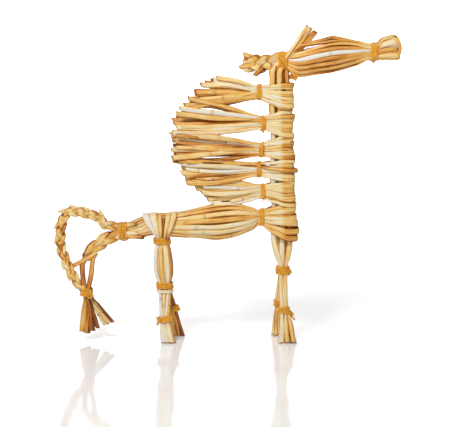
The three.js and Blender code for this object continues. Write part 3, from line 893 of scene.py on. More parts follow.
@dataclass
class Neck:
    """The upright column of straws, and the way ribbons fold round its front."""

    half_x: float = 9.3
    half_y: float = 5.6
    outer: float = 1.6

    def middle(self, z: float) -> float:
        """Middle of the column along X at a height.

        Args:
            z: Height above the ground.

        Returns:
            The column's middle along X.
        """
        low, high = Place.of("body_straw_2"), Place.of("mane_1_straw_2")
        share = (z - low.middle.z) / (high.middle.z - low.middle.z)
        front = mix(low.middle.x + low.half.x, high.middle.x + high.half.x, share)
        return front - self.outer - self.half_x - 1.6 * min(1.0, max(0.0, share))

    def fold(self, start: float, finish: float, wide: tuple[float, float], lift: float,
             slant: float = 0.0, thick: float = 0.8, dark: float = 0.0, bulge: float = 0.0) -> list[Knot]:
        """Route of one ribbon round the front, from the near back corner to the far one.

        Args:
            start: Height at the tie.
            finish: Height on the front of the neck.
            wide: Width near the tie and on the neck.
            lift: Distance out from the column.
            slant: How much higher the near side lies than the far side.
            thick: Thickness of the ribbon.
            dark: Painted shade where the ribbon turns away round the front of the neck; slightly lighter at
                the sides.
            bulge: Extra distance out at the front.

        Returns:
            The ribbon's places in order.
        """
        knots = []
        for degrees in (-150, -118, -92, -66, -44, -22, 0, 22, 44, 66, 92, 118, 150):
            angle = math.radians(degrees)
            share = smooth((165 - abs(degrees)) / 120)
            z = mix(start, finish, mix(0.35, 1, share)) - slant * math.sin(angle) * share
            ahead = bulge * smooth((90 - abs(degrees)) / 80)
            square = 4.0 if abs(degrees) <= 92 else 2.6
            x, y = rounded(self.half_x + lift + ahead, self.half_y + lift, angle, square)
            out = Vector((math.cos(angle) * 0.8, math.sin(angle), 0)).normalized()
            # Painted shade on the front of the neck, where the ribbon turns away; slightly lighter at the
            # sides.
            corner = dark * (1.0 if abs(degrees) < 80 else -0.1)
            breadth = mix(wide[0], wide[1], share)
            knots.append(knot(self.middle(z) + x, y, z, out, breadth, thick, corner))
        return knots


@dataclass
class LegForm:
    """Stance of one lower leg below its ankle tie."""

    knee: str
    ankle: str
    foot_forward: float
    foot_width: float
    side: Side

    def foot(self, share: float, depth: float) -> Vector:
        """Where a straw meets the ground.

        Args:
            share: Place across the foot, from -1 at the back to 1 at the front.
            depth: Distance inwards from the outer row.

        Returns:
            The point on the ground.
        """
        x = Place.of(self.ankle).middle.x + self.foot_forward + share * self.foot_width / 2
        low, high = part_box(OUTER_FOOT[self.ankle.split("_")[0]])
        y = max(abs(low.y), abs(high.y)) / MM - 2.0 - depth
        return Vector((x, self.side.value * y, 0))

    def lower(self, share: float, depth: float, wide: float, thick: float) -> list[Knot]:
        """Route of one straw from the ground up through the ankle tie.

        Args:
            share: Place across the foot, from -1 to 1.
            depth: Distance inwards from the outer row.
            wide: Width of the straw at the foot.
            thick: Thickness of the straw at the foot.

        Returns:
            The straw's places from the ground up.
        """
        tie = Place.of(self.ankle)
        foot = self.foot(share, depth)
        out = Y * self.side.value
        centre = tie.middle + X * share * (tie.half.x - 2.9) - Y * self.side.value * (depth - 0.9) * 0.5
        rise = (centre - foot).normalized()
        squeezed = (min(wide, 2.5), min(thick, 2.4))
        return [
            Knot(foot, out, wide, thick),
            Knot(mix(foot, centre, 0.45), out, wide * 0.96, thick),
            Knot(centre - rise * 3, out, *squeezed),
            Knot(centre + rise * 3, out, *squeezed),
        ]


OUTER_FOOT = {"fore": "ear_straw_near", "hind": "hind_straw_2"}


@dataclass
class ForeLegs:
    """Straws that stand from the fore feet up through the neck, and the ears they end in."""

    neck: Neck
    finishes: Finishes
    column_pitch: float = 6.2
    ear_tips: tuple[tuple[float, float, float], ...] = ((19.7, 27.0, 2.9), (22.6, 25.2, 3.1),
        (26.0, 22.4, 4.4))

    def build(self) -> None:
        """Build both legs, their ties and the ears."""
        forms = {
            Side.near: LegForm("fore_knee_tie", "fore_ankle_tie_near", 1.9, 11.4, Side.near),
            Side.far: LegForm("fore_knee_tie", "fore_ankle_tie_far", -0.6, 8.6, Side.far),
        }
        tones = {Side.near: (0.0, 0.08, 0.34), Side.far: (0.14, 0.16, 0.30)}
        for side, form in forms.items():
            for index in range(3):
                name = f"fore_straw_{side.name}_{index + 1}" if index < 2 else f"ear_straw_{side.name}"
                mesh = StemMesh()
                for layer in range(2):
                    self._stem(mesh, form, index, layer, tones[side][index])
                if index == 2:
                    self._ears(mesh, side)
                self.finishes.dress(mesh.build(name + "_stems"), name)
        Winding("fore_knee_tie", Z, X, 8, tails=(3.0, 2.0), knot_angle=-0.7, spread=1.9, tighten=0.25,
                radius=0.5,
                diagonal=True).build(self.finishes)
        for side, form in forms.items():
            tie = Place.of(form.ankle)
            axis = (tie.middle - form.foot(0, 0)).normalized()
            tails = (6.4, 7.6, 7.2, 8.6, 2.0) if side is Side.near else (-3.0,)
            angle = -0.8 if side is Side.near else -2.4
            Winding(form.ankle, axis, X, 7, tails=tails, knot_angle=angle, spread=1.5, tighten=0.6,
                    radius=0.58,
                    diagonal=side is Side.near).build(self.finishes)

    def _stem(self, mesh: StemMesh, form: LegForm, index: int, layer: int, tone: float) -> None:
        """Add one straw from the ground to the top of the neck.

        Args:
            mesh: Where the straw is added.
            form: The leg it stands in.
            index: Its column, from the front.
            layer: Outer or inner layer.
            tone: How dark it is.
        """
        sign = form.side.value
        out = Y * sign
        knee = Place.of("fore_knee_tie")
        share = (-0.85, 0.1, 1.0)[index] + (0.0, 0.32)[layer] * (1 if index < 2 else -1)
        depth = (0.0, 2.3)[layer] + 0.9 * (index == 1)
        wide, thick = ((4.5, 3.2), (3.2, 2.4))[layer]
        below = 0.24 * (index == 1 and sign < 0)
        knots = [Knot(k.at, k.out, k.wide, k.thick, below) for k in form.lower(share, depth, wide, thick)]
        inner = (3.5, 1.7)[layer] - 0.8 * (index == 1)
        knee_x = knee.middle.x + share * 2.5
        for rise in (-3.2, 3.2):
            knots.append(knot(knee_x, sign * inner, knee.middle.z + rise, out, 3.0, 2.4, below))
        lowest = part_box("body_straw_1")[0].z / MM
        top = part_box("fore_straw_near_1")[1].z / MM
        heights = (mix(knee.middle.z, lowest, 0.5), lowest, mix(lowest, top, 0.5), top - 6, top)
        for number, z in enumerate(heights):
            x = mix(knee_x, self.neck.middle(z) + share * self.column_pitch, smooth((number + 1) / 2))
            y = sign * (mix(inner, (4.2, 1.6)[layer], 0.5) if number else inner + 0.4)
            if number > 2:
                y = sign * (5.0, 2.2)[layer]
            if number and index != 1:
                y *= 0.86
            knots.append(knot(x, y, z, out, 4.5 - layer * 0.6, 2.9, 0.34 * (number > 2)))
        last = knots[-1].at
        knots.append(knot(last.x + 2.5, last.y * 0.5, last.z + 5.0, out, 3.0, 2.4, 0.3))
        # Painted shade: the inner layer, behind the outer straws, is drawn darker, more on the near side.
        mesh.add(Stem(
            knots, tone + layer * (0.32 if sign < 0 else 0.16), seed=40 + index * 5 + layer + sign,
            start=Cut.FLAT, end=Cut.HIDDEN,
            joints=(0.62,) if (index + layer) % 2 else (0.12,), wobble=0.5, groove=0.14,
        ))

    def _ears(self, mesh: StemMesh, side: Side) -> None:
        """Add the flat straws that stand out as ears, two on the near side and one beyond.

        Args:
            mesh: Where the straws are added.
            side: Near or far side.
        """
        poll = Place.of("poll_tie").middle
        numbers = (0, 1) if side is Side.near else (2,)
        for number in numbers:
            ahead, rise, wide = self.ear_tips[number]
            tip = poll + Vector((ahead, (-4.4, -3.4, -1.8)[number], rise))
            root = poll + Vector((1.6 + 2.4 * number, -5.2 + 0.9 * number, 0.6 - 0.4 * number))
            out = (Y * -1 + X * 0.3 * (number - 1)).normalized()
            knots = [
                Knot(root, out, wide * 0.8, 1.6),
                Knot(mix(root, tip, 0.3) - Y * 1.0, out, wide, 1.9),
                Knot(mix(root, tip, 0.65), out, wide, 2.0),
                Knot(tip, out, wide, 2.3),
            ]
            mesh.add(Stem(knots, (0.26, 0.36, 0.54)[number], seed=70 + number, end=Cut.OPEN,
                groove=0.25, wobble=0.1))


@dataclass
class Oddity:
    """A straw that lies across the others of its bundle."""

    ahead: float
    rise: float
    root_rise: float
    depth: float
    wide: float
    tone: float
    joint: float = 0.4
    start: float = 0.0


@dataclass
class ManeBundle:
    """Straws folded round the neck, tied behind it and fanned out backwards."""

    neck: Neck
    finishes: Finishes
    number: int
    band: float
    bottom: float
    # Painted shade on the fronts of the folds round the neck.
    folds_dark: float = 0.30
    gap: float = 0.0
    crest: float = 0.6
    top_length: float = 1.0
    shade: float = 0.0
    oddities: tuple[Oddity, ...] = ()
    round_ribbon: int | None = None

    LOOPS = 8
    GROUPS = ((0, 1, 2), (3, 4), (5, 6, 7))
    PALES = (0.06, 0.12, 0.16, 0.22, 0.30, 0.40)

    def build(self) -> None:
        """Build the three pieces and the tie."""
        dice = random.Random(900 + self.number)
        for index in range(3):
            mesh = StemMesh()
            for loop in self.GROUPS[index]:
                self._loop(mesh, loop, dice)
            if index == 1:
                for oddity in self.oddities:
                    self._oddity(mesh, oddity)
            name = f"mane_{self.number}_straw_{index + 1}"
            self.finishes.dress(mesh.build(name + "_stems"), name)
        Winding(f"mane_tie_{self.number}", X, Z, 4, knot_angle=(0.4, 2.8, 1.2, 0.2, 2.4)[self.number - 1],
                tails=(2.5,)).build(self.finishes)

    def _tip(self, share: float, dice: random.Random) -> tuple[float, float]:
        """Where a fanned straw ends, from its share of the way up the fan.

        Args:
            share: Share of the way up the fan.
            dice: Random numbers for its unevenness.

        Returns:
            The tip along X and its height.
        """
        share = share * (1 - self.gap) + (self.gap if share > 0.6 else 0.0)
        nodes = [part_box(f"mane_{self.number}_straw_{k}") for k in (1, 2, 3)]
        reach = [low.x / MM for low, _ in nodes]
        x = mix(reach[0], reach[1], share * 2) if share < 0.5 else mix(reach[1], reach[2], share * 2 - 1)
        low, high = nodes[0][0].z / MM - 1.0, nodes[2][1].z / MM + self.crest
        tie = Place.of(f"mane_tie_{self.number}").middle.x
        length = (tie - x) * dice.uniform(0.90, 1.02) * mix(1, self.top_length, share)
        return tie - length, mix(low, high, share) + dice.uniform(-1.8, 1.8)

    def _fan(self, share: float, row: float, side: Side, dice: random.Random) -> list[Knot]:
        """Route of one fanned straw from its tip to its tie.

        Args:
            share: Share of the way up the fan.
            row: Height of its row in the tie.
            side: Near or far side.
            dice: Random numbers for its unevenness.

        Returns:
            The straw's places from tip to tie.
        """
        tie = Place.of(f"mane_tie_{self.number}")
        tip_x, tip_z = self._tip(share, dice)
        sign = side.value
        out = (Y * sign + Z * dice.uniform(-0.5, 0.5)).normalized()
        tip_y = sign * dice.uniform(2.2, 6.0)
        wide, thick = dice.uniform(3.3, 5.0), dice.uniform(1.5, 2.6)
        mouth = tie.middle.x - 3.0
        z = tie.middle.z + row
        bow = dice.uniform(-2.0, 2.0)
        return [
            knot(tip_x, tip_y, tip_z, out, wide, thick),
            knot(mix(tip_x, mouth, 0.35), tip_y * 1.05, mix(tip_z, z, 0.32) + bow, out, wide, thick),
            knot(mix(tip_x, mouth, 0.72), tip_y * 0.9, mix(tip_z, z, 0.70) + bow * 0.6, out, wide * 0.9,
                thick),
            knot(mouth, sign * 2.5, z, Y * sign, 2.3, 2.0),
            knot(tie.middle.x, sign * 2.2, z, Y * sign, 2.1, 1.9),
        ]

    def _loop(self, mesh: StemMesh, loop: int, dice: random.Random) -> None:
        """Add one straw: near fan end, ribbon round the neck, far fan end.

        Args:
            mesh: Where the straw is added.
            loop: Its number in the bundle.
            dice: The bundle's random numbers.
        """
        tie = Place.of(f"mane_tie_{self.number}")
        row = spaced(loop, self.LOOPS, 1.32)
        share = (loop + 0.5) / self.LOOPS
        near = self._fan(min(1.0, max(0.0, share + dice.uniform(-0.10, 0.10))), row, Side.near, dice)
        far = self._fan(min(1.0, max(0.0, share + dice.choice((-0.16, 0.16)))), row, Side.far, dice)
        pitch = self.band / self.LOOPS
        fold_z = self.bottom + self.band / 2 + spaced(loop, self.LOOPS, pitch) + dice.uniform(-0.7, 0.7)
        rounded_one = loop == self.round_ribbon
        # The fold round the neck carries painted shade on its front.
        fold = self.neck.fold(
            tie.middle.z + row, fold_z - (6.5 if rounded_one else 0),
            (2.0, 3.9 if rounded_one else dice.uniform(3.2, 5.6)),
            0.45 + (1.3 if rounded_one else dice.uniform(0.0, 1.1)), slant=dice.uniform(-1.3, 1.3),
            thick=3.0 if rounded_one else dice.uniform(0.7, 1.1),
            dark=self.folds_dark * (0.4 if rounded_one else dice.choice((0.6, 0.8, 1.0))),
            bulge=2.0 if rounded_one else dice.uniform(0.0, 1.9),
        )
        tone = 0.44 if rounded_one else dice.choice(self.PALES)
        fan_dark = dice.choice((-0.06, 0.02, 0.10, 0.20, 0.30, 0.42)) + self.shade
        if self.gap and loop > 4:
            fan_dark = -0.02
        darker = [Knot(k.at, k.out, k.wide, k.thick, fan_dark) for k in near]
        # Painted shade: the far fan ends, behind the near ones, are drawn darker.
        other = [Knot(k.at, k.out, k.wide, k.thick, dice.uniform(0.2, 0.45)) for k in far]
        mesh.add(Stem(
            darker + fold + other[::-1], tone, seed=self.number * 31 + loop, start=Cut.SLANTED,
            end=Cut.SLANTED,
            joints=(dice.uniform(0.05, 0.2),) if dice.random() < 0.4 else (), wobble=0.35,
            groove=dice.uniform(0.05, 0.3),
        ))

    def _oddity(self, mesh: StemMesh, odd: Oddity) -> None:
        """Add one straw that crosses the fan.

        Args:
            mesh: Where the straw is added.
            odd: Its place and size.
        """
        tie = Place.of(f"mane_tie_{self.number}").middle
        tip = Vector((tie.x - odd.ahead, odd.depth, tie.z + odd.rise))
        root = Vector((tie.x, odd.depth * 0.3, tie.z + odd.root_rise))
        if odd.start:
            root = mix(root, tip, odd.start)
        out = Y * (-1 if odd.depth < 0 else 1)
        knots = [
            Knot(tip, out, odd.wide, odd.wide * 0.7),
            Knot(mix(tip, root, 0.5) + Z * 0.5, out, odd.wide, odd.wide * 0.7),
            Knot(root, out, odd.wide * (0.9 if odd.start else 0.6), odd.wide * 0.5),
        ]
        ending = Cut.OPEN if odd.start else Cut.HIDDEN
        mesh.add(Stem(knots, odd.tone, seed=int(odd.ahead * 10), start=Cut.SLANTED, end=ending,
                      joints=(odd.joint,), wobble=0.3, groove=0.1))


@dataclass
class Barrel:
    """Straws folded round the chest, tied, swelling into the body and led on to the rump."""

    neck: Neck
    finishes: Finishes
    rows: int = 8
    half_height: float = 14.0
    half_depth: float = 9.2
    chest_band: float = 29.5
    folds: tuple[float, ...] = (-13.4, -7.4, -1.4, 3.8, 4.6, 10.8, 8.4, 13.4)
    bulges: tuple[float, ...] = (1.6, 3.0, 2.6, 1.4, 0.6, 1.2, 0.8, 0.4)

    def build(self) -> None:
        """Build the four body pieces and their two ties."""
        for index in range(4):
            mesh = StemMesh()
            for row in (2 * index, 2 * index + 1):
                self._loop(mesh, row)
            name = f"body_straw_{index + 1}"
            self.finishes.dress(mesh.build(name + "_stems"), name)
        Winding("chest_tie", X, Z, 5, knot_angle=0.3, tails=(3.0,)).build(self.finishes)
        Winding("rump_tie", X, Z, 7, knot_angle=1.2, tails=(3.0,), spread=1.9,
            diagonal=True).build(self.finishes)

    def _loop(self, mesh: StemMesh, row: int) -> None:
        """Add one straw: rump, barrel, chest ribbon and back along the far side.

        Args:
            mesh: Where the straw is added.
            row: Its row.
        """
        dice = random.Random(300 + row)
        chest = Place.of("chest_tie").middle
        lower, upper = Place.of("body_straw_1"), Place.of("body_straw_4")
        band_middle = (lower.middle.z - lower.half.z + upper.middle.z + upper.half.z) / 2
        pitch = self.chest_band / self.rows
        fold_z = band_middle + self.folds[row]
        start = chest.z + spaced(row, self.rows, 1.45)
        # The fold round the neck carries painted shade on its front.
        fold = self.neck.fold(
            start, fold_z, (3.2, pitch * (1.5 if row < 3 else 1.35)),
            (1.5, 1.2, 1.0, 1.5, 0.6, 1.1, 0.8, 0.5)[row],
            slant=dice.uniform(-1.4, 1.4), thick=2.4 if row < 3 else dice.uniform(1.0, 1.4), dark=0.22,
            bulge=self.bulges[row],
        )
        near, far = self._side(row, Side.near, dice), self._side(row, Side.far, dice)
        tone = (0.40, 0.32, 0.20, 0.12, 0.36, 0.20, 0.42, 0.46)[row]
        mesh.add(Stem(near + fold + far[::-1], tone, seed=320 + row, joints=(dice.uniform(0.15, 0.3),),
                      wobble=0.3, groove=dice.uniform(0.05, 0.25)))

    def _side(self, row: int, side: Side, dice: random.Random) -> list[Knot]:
        """Route of one straw along one side, from the rump to the chest tie.

        Args:
            row: Its row.
            side: Near or far side.
            dice: Random numbers for its unevenness.

        Returns:
            The straw's places from rump to chest.
        """
        sign = side.value
        chest = Place.of("chest_tie").middle
        rump = Place.of("rump_tie").middle
        hip = Place.of("hip_tie").middle
        hip_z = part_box("hind_straw_2")[1].z / MM - 10.0
        turn = math.radians(spaced(row, self.rows, 152 / (self.rows - 1)))
        z_part, y_part = math.sin(turn), math.cos(turn)
        out = Vector((0, sign * y_part, z_part * 0.8)).normalized()
        wide, thick = dice.uniform(3.9, 4.8), dice.uniform(2.2, 2.9)
        middle_z = mix(chest.z, hip_z, 0.45) - 1.0
        swell = dice.uniform(0.94, 1.03)
        tie_z = chest.z + spaced(row, self.rows, 1.45)
        knots = [
            knot(rump.x - 3, sign * 3.0, rump.z + z_part * 5.0, out, 3.2, 1.6),
            knot(rump.x + 3, sign * 3.2, rump.z + z_part * 5.2, out, 3.4, 1.6),
            knot(mix(rump.x, hip.x, 0.45), sign * (3.4 + 2.6 * y_part),
                mix(rump.z, hip_z, 0.5) + z_part * 7.4, out, 5.0, 1.5),
            knot(hip.x - 8, sign * (3.0 + 2.4 * y_part), hip_z + z_part * 7.6, out, 4.0, 1.9),
            knot(hip.x + 12, sign * (2.8 + 3.4 * y_part), hip_z + z_part * 9.0, out, 4.0, 2.2),
        ]
        for share, size in ((0.30, 0.84), (0.50, 1.0), (0.70, 0.92), (0.87, 0.62)):
            x = mix(hip.x + 10, chest.x, share)
            grow = self.half_height * size * swell
            deep = self.half_depth * size
            z = mix(hip_z, middle_z, min(1, share * 2)) if share < 0.5 else mix(middle_z, chest.z,
                (share - 0.5) * 2)
            knots.append(knot(x, sign * deep * y_part, z + grow * z_part, out, wide, thick))
        knots.append(knot(chest.x - 3, sign * 2.5, tie_z, Y * sign, 2.2, 2.0))
        knots.append(knot(chest.x, sign * 2.3, tie_z, Y * sign, 1.9, 2.0))
        return knots


@dataclass
class HindLegs:
    """Straws folded over the hips that stand down to both hind feet."""

    finishes: Finishes
    rows: int = 6
    wrap_width: float = 26.6
    half_y: float = 6.6
    half_z: float = 9.0

    def build(self) -> None:
        """Build the four pieces and their four ties."""
        forms = {
            Side.near: LegForm("hind_knee_tie", "hind_ankle_tie_near", 3.3, 8.4, Side.near),
            Side.far: LegForm("hind_knee_tie", "hind_ankle_tie_far", 5.0, 8.0, Side.far),
        }
        groups = ((0, 1), (2,), (3,), (4, 5))
        for index, rows in enumerate(groups):
            mesh = StemMesh()
            for row in rows:
                self._loop(mesh, row, forms)
            if index == 0:
                self._cuff(mesh)
            name = f"hind_straw_{index + 1}"
            self.finishes.dress(mesh.build(name + "_stems"), name)
        Winding("hip_tie", Z, X, 7, knot_angle=-0.6, tails=(2.0,), spread=1.5, tighten=-0.1,
                diagonal=True).build(self.finishes)
        Winding("hind_knee_tie", Z, X, 7, knot_angle=-1.2, tails=(2.5,), spread=1.5, tighten=-0.2, radius=0.5,
                diagonal=True).build(self.finishes)
        for side, form in forms.items():
            axis = (Place.of(form.ankle).middle - form.foot(0, 0)).normalized()
            angle = -2.6 if side is Side.near else -0.7
            Winding(form.ankle, axis, X, 6, tails=(-5.5, -4.0), knot_angle=angle, spread=1.4,
                radius=0.5).build(self.finishes)

    def _loop(self, mesh: StemMesh, row: int, forms: dict[Side, LegForm]) -> None:
        """Add one straw, near foot to far foot over the hips.

        Args:
            mesh: Where the straw is added.
            row: Its row.
            forms: The two legs.
        """
        dice = random.Random(500 + row)
        hip = Place.of("hip_tie")
        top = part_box("hind_straw_2")[1].z / MM
        wrap = Place.of("hind_straw_1").middle.x - Place.of("hind_straw_1").half.x + self.wrap_width / 2
        wide = (5.8, 5.6, 4.2, 2.8, 4.2, 5.4)[row]
        # Painted shade and light on the wrap over the hips: the narrow, deep-set fourth row darker, the
        # outermost last row lighter.
        shade = (-0.06, -0.04, 0.0, 0.5, 0.06, -0.30)[row]
        over = []
        for degrees in (-58, -36, -12, 20, 52, 90, 128, 160, 192, 216, 238):
            angle = math.radians(degrees)
            share = min(1.0, max(0.0, min(degrees + 60, 240 - degrees) / 112))
            lift = (0.8, 1.5, 1.1, 0.1, 1.3, 2.0)[row]
            y, z = rounded(self.half_y + lift, self.half_z + lift, angle, 3.2)
            splay = (-11.2, -5.8, -0.9, 2.4, 6.0, 10.6)[row]
            x = mix(hip.middle.x + spaced(row, self.rows, 1.7), wrap + splay, share)
            out = Vector((0, -math.cos(angle), math.sin(angle)))
            z_middle = top - self.half_z - 1.8
            # Painted shade on the lower near side of the outermost row.
            under = 0.5 * (row == 5) * smooth((-20 - degrees) / 30)
            over.append(knot(x, -y, z_middle + z, out, mix(2.4, wide, share), 1.3, shade + under))
        near = self._leg(row, forms[Side.near], dice)
        far = self._leg(row, forms[Side.far], dice)
        far = [Knot(k.at, k.out, k.wide, k.thick, k.dark + 0.20 * smooth((50 - k.at.z) / 8)) for k in far]
        near = [Knot(k.at, k.out, k.wide, k.thick, k.dark - 0.16 * smooth((50 - k.at.z) / 8)) for k in near]
        tone = (0.06, 0.22, 0.36, 0.30, 0.16, 0.50)[row]
        mesh.add(Stem(near + over + far[::-1], tone, seed=520 + row, start=Cut.FLAT, end=Cut.FLAT,
                      joints=(dice.uniform(0.10, 0.2),), wobble=0.4, groove=dice.uniform(0.05, 0.2)))

    def _cuff(self, mesh: StemMesh) -> None:
        """Add the pale ribbon wound once round the legs just under the knee tie.

        Args:
            mesh: Where the ribbon is added.
        """
        knee = Place.of("hind_knee_tie")
        knots = []
        for step in range(15):
            angle = step / 14 * 2 * math.pi + 0.6
            x, y = rounded(knee.half.x - 0.5, knee.half.y + 0.2, angle, 3.0)
            out = Vector((math.cos(angle), math.sin(angle), 0))
            z = knee.middle.z - 4.3 - 0.5 * step / 14
            knots.append(knot(knee.middle.x + x, y, z, out, 2.8, 0.8))
        mesh.add(Stem(knots, 0.02, seed=590, start=Cut.SLANTED, end=Cut.SLANTED, groove=0.2, wobble=0.05))

    def _leg(self, row: int, form: LegForm, dice: random.Random) -> list[Knot]:
        """Route of one straw from the ground up to the hip tie.

        Args:
            row: Its row.
            form: The leg it stands in.
            dice: Random numbers for its unevenness.

        Returns:
            The straw's places from foot to hip tie.
        """
        sign = form.side.value
        out = Y * sign
        hip, knee = Place.of("hip_tie"), Place.of("hind_knee_tie")
        share = spaced(row, self.rows, 2 / (self.rows - 1))
        depth = (0.0, 2.2)[row % 2]
        knots = form.lower(share, depth, (4.4, 2.8)[row % 2], 3.0)
        deep = (3.6, 2.4)[row % 2]
        knee_x = knee.middle.x + share * 3.7
        for rise in (-3.4, 3.4):
            knots.append(knot(knee_x, sign * deep, knee.middle.z + rise, out, 2.3, 2.0))
        bulge = mix(knee.middle.z, hip.middle.z, 0.5)
        bow = dice.uniform(-0.3, 0.3)
        for step, wider in ((0.22, 1.12), (0.5, 1.30), (0.8, 1.14)):
            z = mix(knee.middle.z, hip.middle.z, step)
            x = mix(knee.middle.x, hip.middle.x, step) + share * 4.5 * wider + bow
            size = (3.1, 2.6, 3.7, 2.6, 4.3, 2.8)[row]
            knots.append(knot(x, sign * (deep + 1.8 - 3.0 * abs(z - bulge) / 30), z, out, size, 2.9))
        for rise, thick in ((-2.4, 2.0), (2.2, 1.7)):
            knots.append(knot(hip.middle.x + share * 4.3, sign * 3.2, hip.middle.z + rise, out, 2.4, thick))
        return knots


@dataclass
class Head:
    """Long straws from the poll to the muzzle, turned back in loops at the front."""

    finishes: Finishes
    rows: int = 8
    cheek_ahead: float = 13.0
    brow_ahead: float = 41.0
    cheeks: tuple[float, ...] = (-11.4, -8.8, -5.4, -2.4, 0.2, 3.4, 7.4, 8.6)
    brows: tuple[float, ...] = (-7.6, -4.8, -0.9, 2.8, 6.6, 9.4, 12.6, 15.0)
    bends: tuple[tuple[int, float, float], ...] = ((6, 20.0, 8.0), (7, 14.4, 11.6))

    TONES = (0.38, 0.34, 0.50, 0.46, -0.08, 0.62, 0.34, 0.40)

    def build(self) -> None:
        """Build the four head pieces and their ties."""
        for index in range(4):
            mesh = StemMesh()
            for row in (2 * index, 2 * index + 1):
                self._loop(mesh, row)
            if index == 3:
                self._cut_straws(mesh)
            name = f"head_straw_{index + 1}"
            self.finishes.dress(mesh.build(name + "_stems"), name)
        Winding("muzzle_tie", X, Z, 7, knot_angle=3.3, tails=(3.0, 2.0), spread=1.7,
            radius=0.55).build(self.finishes)
        Winding("poll_tie", X, Z, 8, knot_angle=2.6, tails=(5.0, 4.0), spread=2.1, radius=0.6,
            diagonal=True).build(self.finishes)
        Winding("throat_tie", Z, X, 5, knot_angle=-0.5, tails=(4.0, 3.0), diagonal=True,
                linked_to="poll_tie").build(self.finishes)

    def _row_heights(self, row: int) -> tuple[float, float, float, float]:
        """Heights of a row at the poll, cheek, brow and muzzle tie.

        Args:
            row: The row.

        Returns:
            The four heights.
        """
        poll, muzzle = Place.of("poll_tie").middle, Place.of("muzzle_tie").middle
        return (
            poll.z + spaced(row, self.rows, 1.55),
            poll.z + self.cheeks[row],
            poll.z + self.brows[row],
            muzzle.z + spaced(row, self.rows, 1.45),
        )

    def _side(self, row: int, side: Side, dice: random.Random) -> list[Knot]:
        """Route of one straw from the poll to the muzzle tie.

        Args:
            row: Its row.
            side: Near or far side.
            dice: Random numbers for its unevenness.

        Returns:
            The straw's places from poll to muzzle.
        """
        sign = side.value
        poll, muzzle = Place.of("poll_tie").middle, Place.of("muzzle_tie").middle
        at_poll, at_cheek, at_brow, at_muzzle = self._row_heights(row)
        turn = math.radians(spaced(row, self.rows, 150 / (self.rows - 1)))
        y_part, z_part = math.cos(turn), math.sin(turn)
        out = Vector((0, sign * y_part, z_part * 0.7)).normalized()
        wide, thick = dice.uniform(3.3, 4.1), dice.uniform(2.4, 3.1)
        knots = [
            knot(poll.x - 2.5, sign * 2.6, at_poll, Y * sign, 2.4, 2.0),
            knot(poll.x + 3.0, sign * 3.4, at_poll, Y * sign, 2.8, 2.0),
        ]
        bend = [b for b in self.bends if b[0] == row]
        if bend:
            ahead, rise = bend[0][1:]
            for step, lower in ((-1.0, 0.9), (0.0, 0.1), (1.2, -0.1)):
                knots.append(knot(poll.x + ahead + step, sign * (4.4 + 1.6 * y_part),
                poll.z + rise - lower, out, wide, thick * 0.8))
        else:
            knots.append(knot(poll.x + self.cheek_ahead, sign * (3.9 + 2.2 * y_part), at_cheek, out,
            wide * 0.9, thick * 0.8))
            knots.append(knot(poll.x + 26, sign * (2.4 + 5.4 * y_part), mix(at_cheek, at_brow, 0.48),
            out, wide, thick))
        middle = mix(poll.x + self.brow_ahead, muzzle.x, 0.55)
        knots += [
            knot(poll.x + self.brow_ahead, sign * (1.2 + 7.0 * y_part), at_brow, out, wide, thick),
            knot(middle, sign * (1.8 + 4.4 * y_part), mix(at_brow, at_muzzle, 0.45) + 0.6, out,
                wide * 0.92, thick),
            knot(muzzle.x - 4.5, sign * 3.2, at_muzzle, Y * sign, 2.6, 2.2),
            knot(muzzle.x + 3.0, sign * 2.8, at_muzzle, Y * sign, 2.6, 2.0),
        ]
        return knots

    def _loop(self, mesh: StemMesh, row: int) -> None:
        """Add one straw: near side, loop before the muzzle, far side.

        Args:
            mesh: Where the straw is added.
            row: Its row.
        """
        dice = random.Random(700 + row)
        muzzle = Place.of("muzzle_tie").middle
        _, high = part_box("head_straw_2")
        front = high.x / MM - 2.4 - (0.8, 2.0, 0.0, 1.8, 0.4, 2.2, 1.6, 5.0)[row]
        z_end = muzzle.z + 3.6 + spaced(row, self.rows, 2.3)
        radius = (3.4, 4.4)[row % 2]
        bend = front - radius
        wide = 4.8 if row in (4, 5) else dice.uniform(3.4, 4.2)
        pale = -0.5 if row == 5 else 0.0
        loop = [knot(mix(muzzle.x, bend, 0.5), -radius * 1.02,
        mix(muzzle.z + spaced(row, self.rows, 1.45), z_end, 0.62), Y * -1, wide * 0.95, 1.6, pale)]
        for degrees in (-80, -45, 0, 45, 80):
            angle = math.radians(degrees)
            out = Vector((math.cos(angle), math.sin(angle), 0))
            loop.append(knot(bend + radius * math.cos(angle), radius * math.sin(angle),
            z_end + dice.uniform(-0.3, 0.3), out, wide, 1.5, pale))
        loop.append(knot(mix(muzzle.x, bend, 0.5), radius * 1.02,
            mix(muzzle.z + spaced(row, self.rows, 1.45), z_end, 0.62), Y, wide * 0.95, 1.6))
        near, far = self._side(row, Side.near, dice), self._side(row, Side.far, dice)
        mesh.add(Stem(near + loop + far[::-1], self.TONES[row], seed=720 + row,
                      joints=(dice.uniform(0.1, 0.4),),
                      wobble=0.3, groove=dice.uniform(0.05, 0.25)))

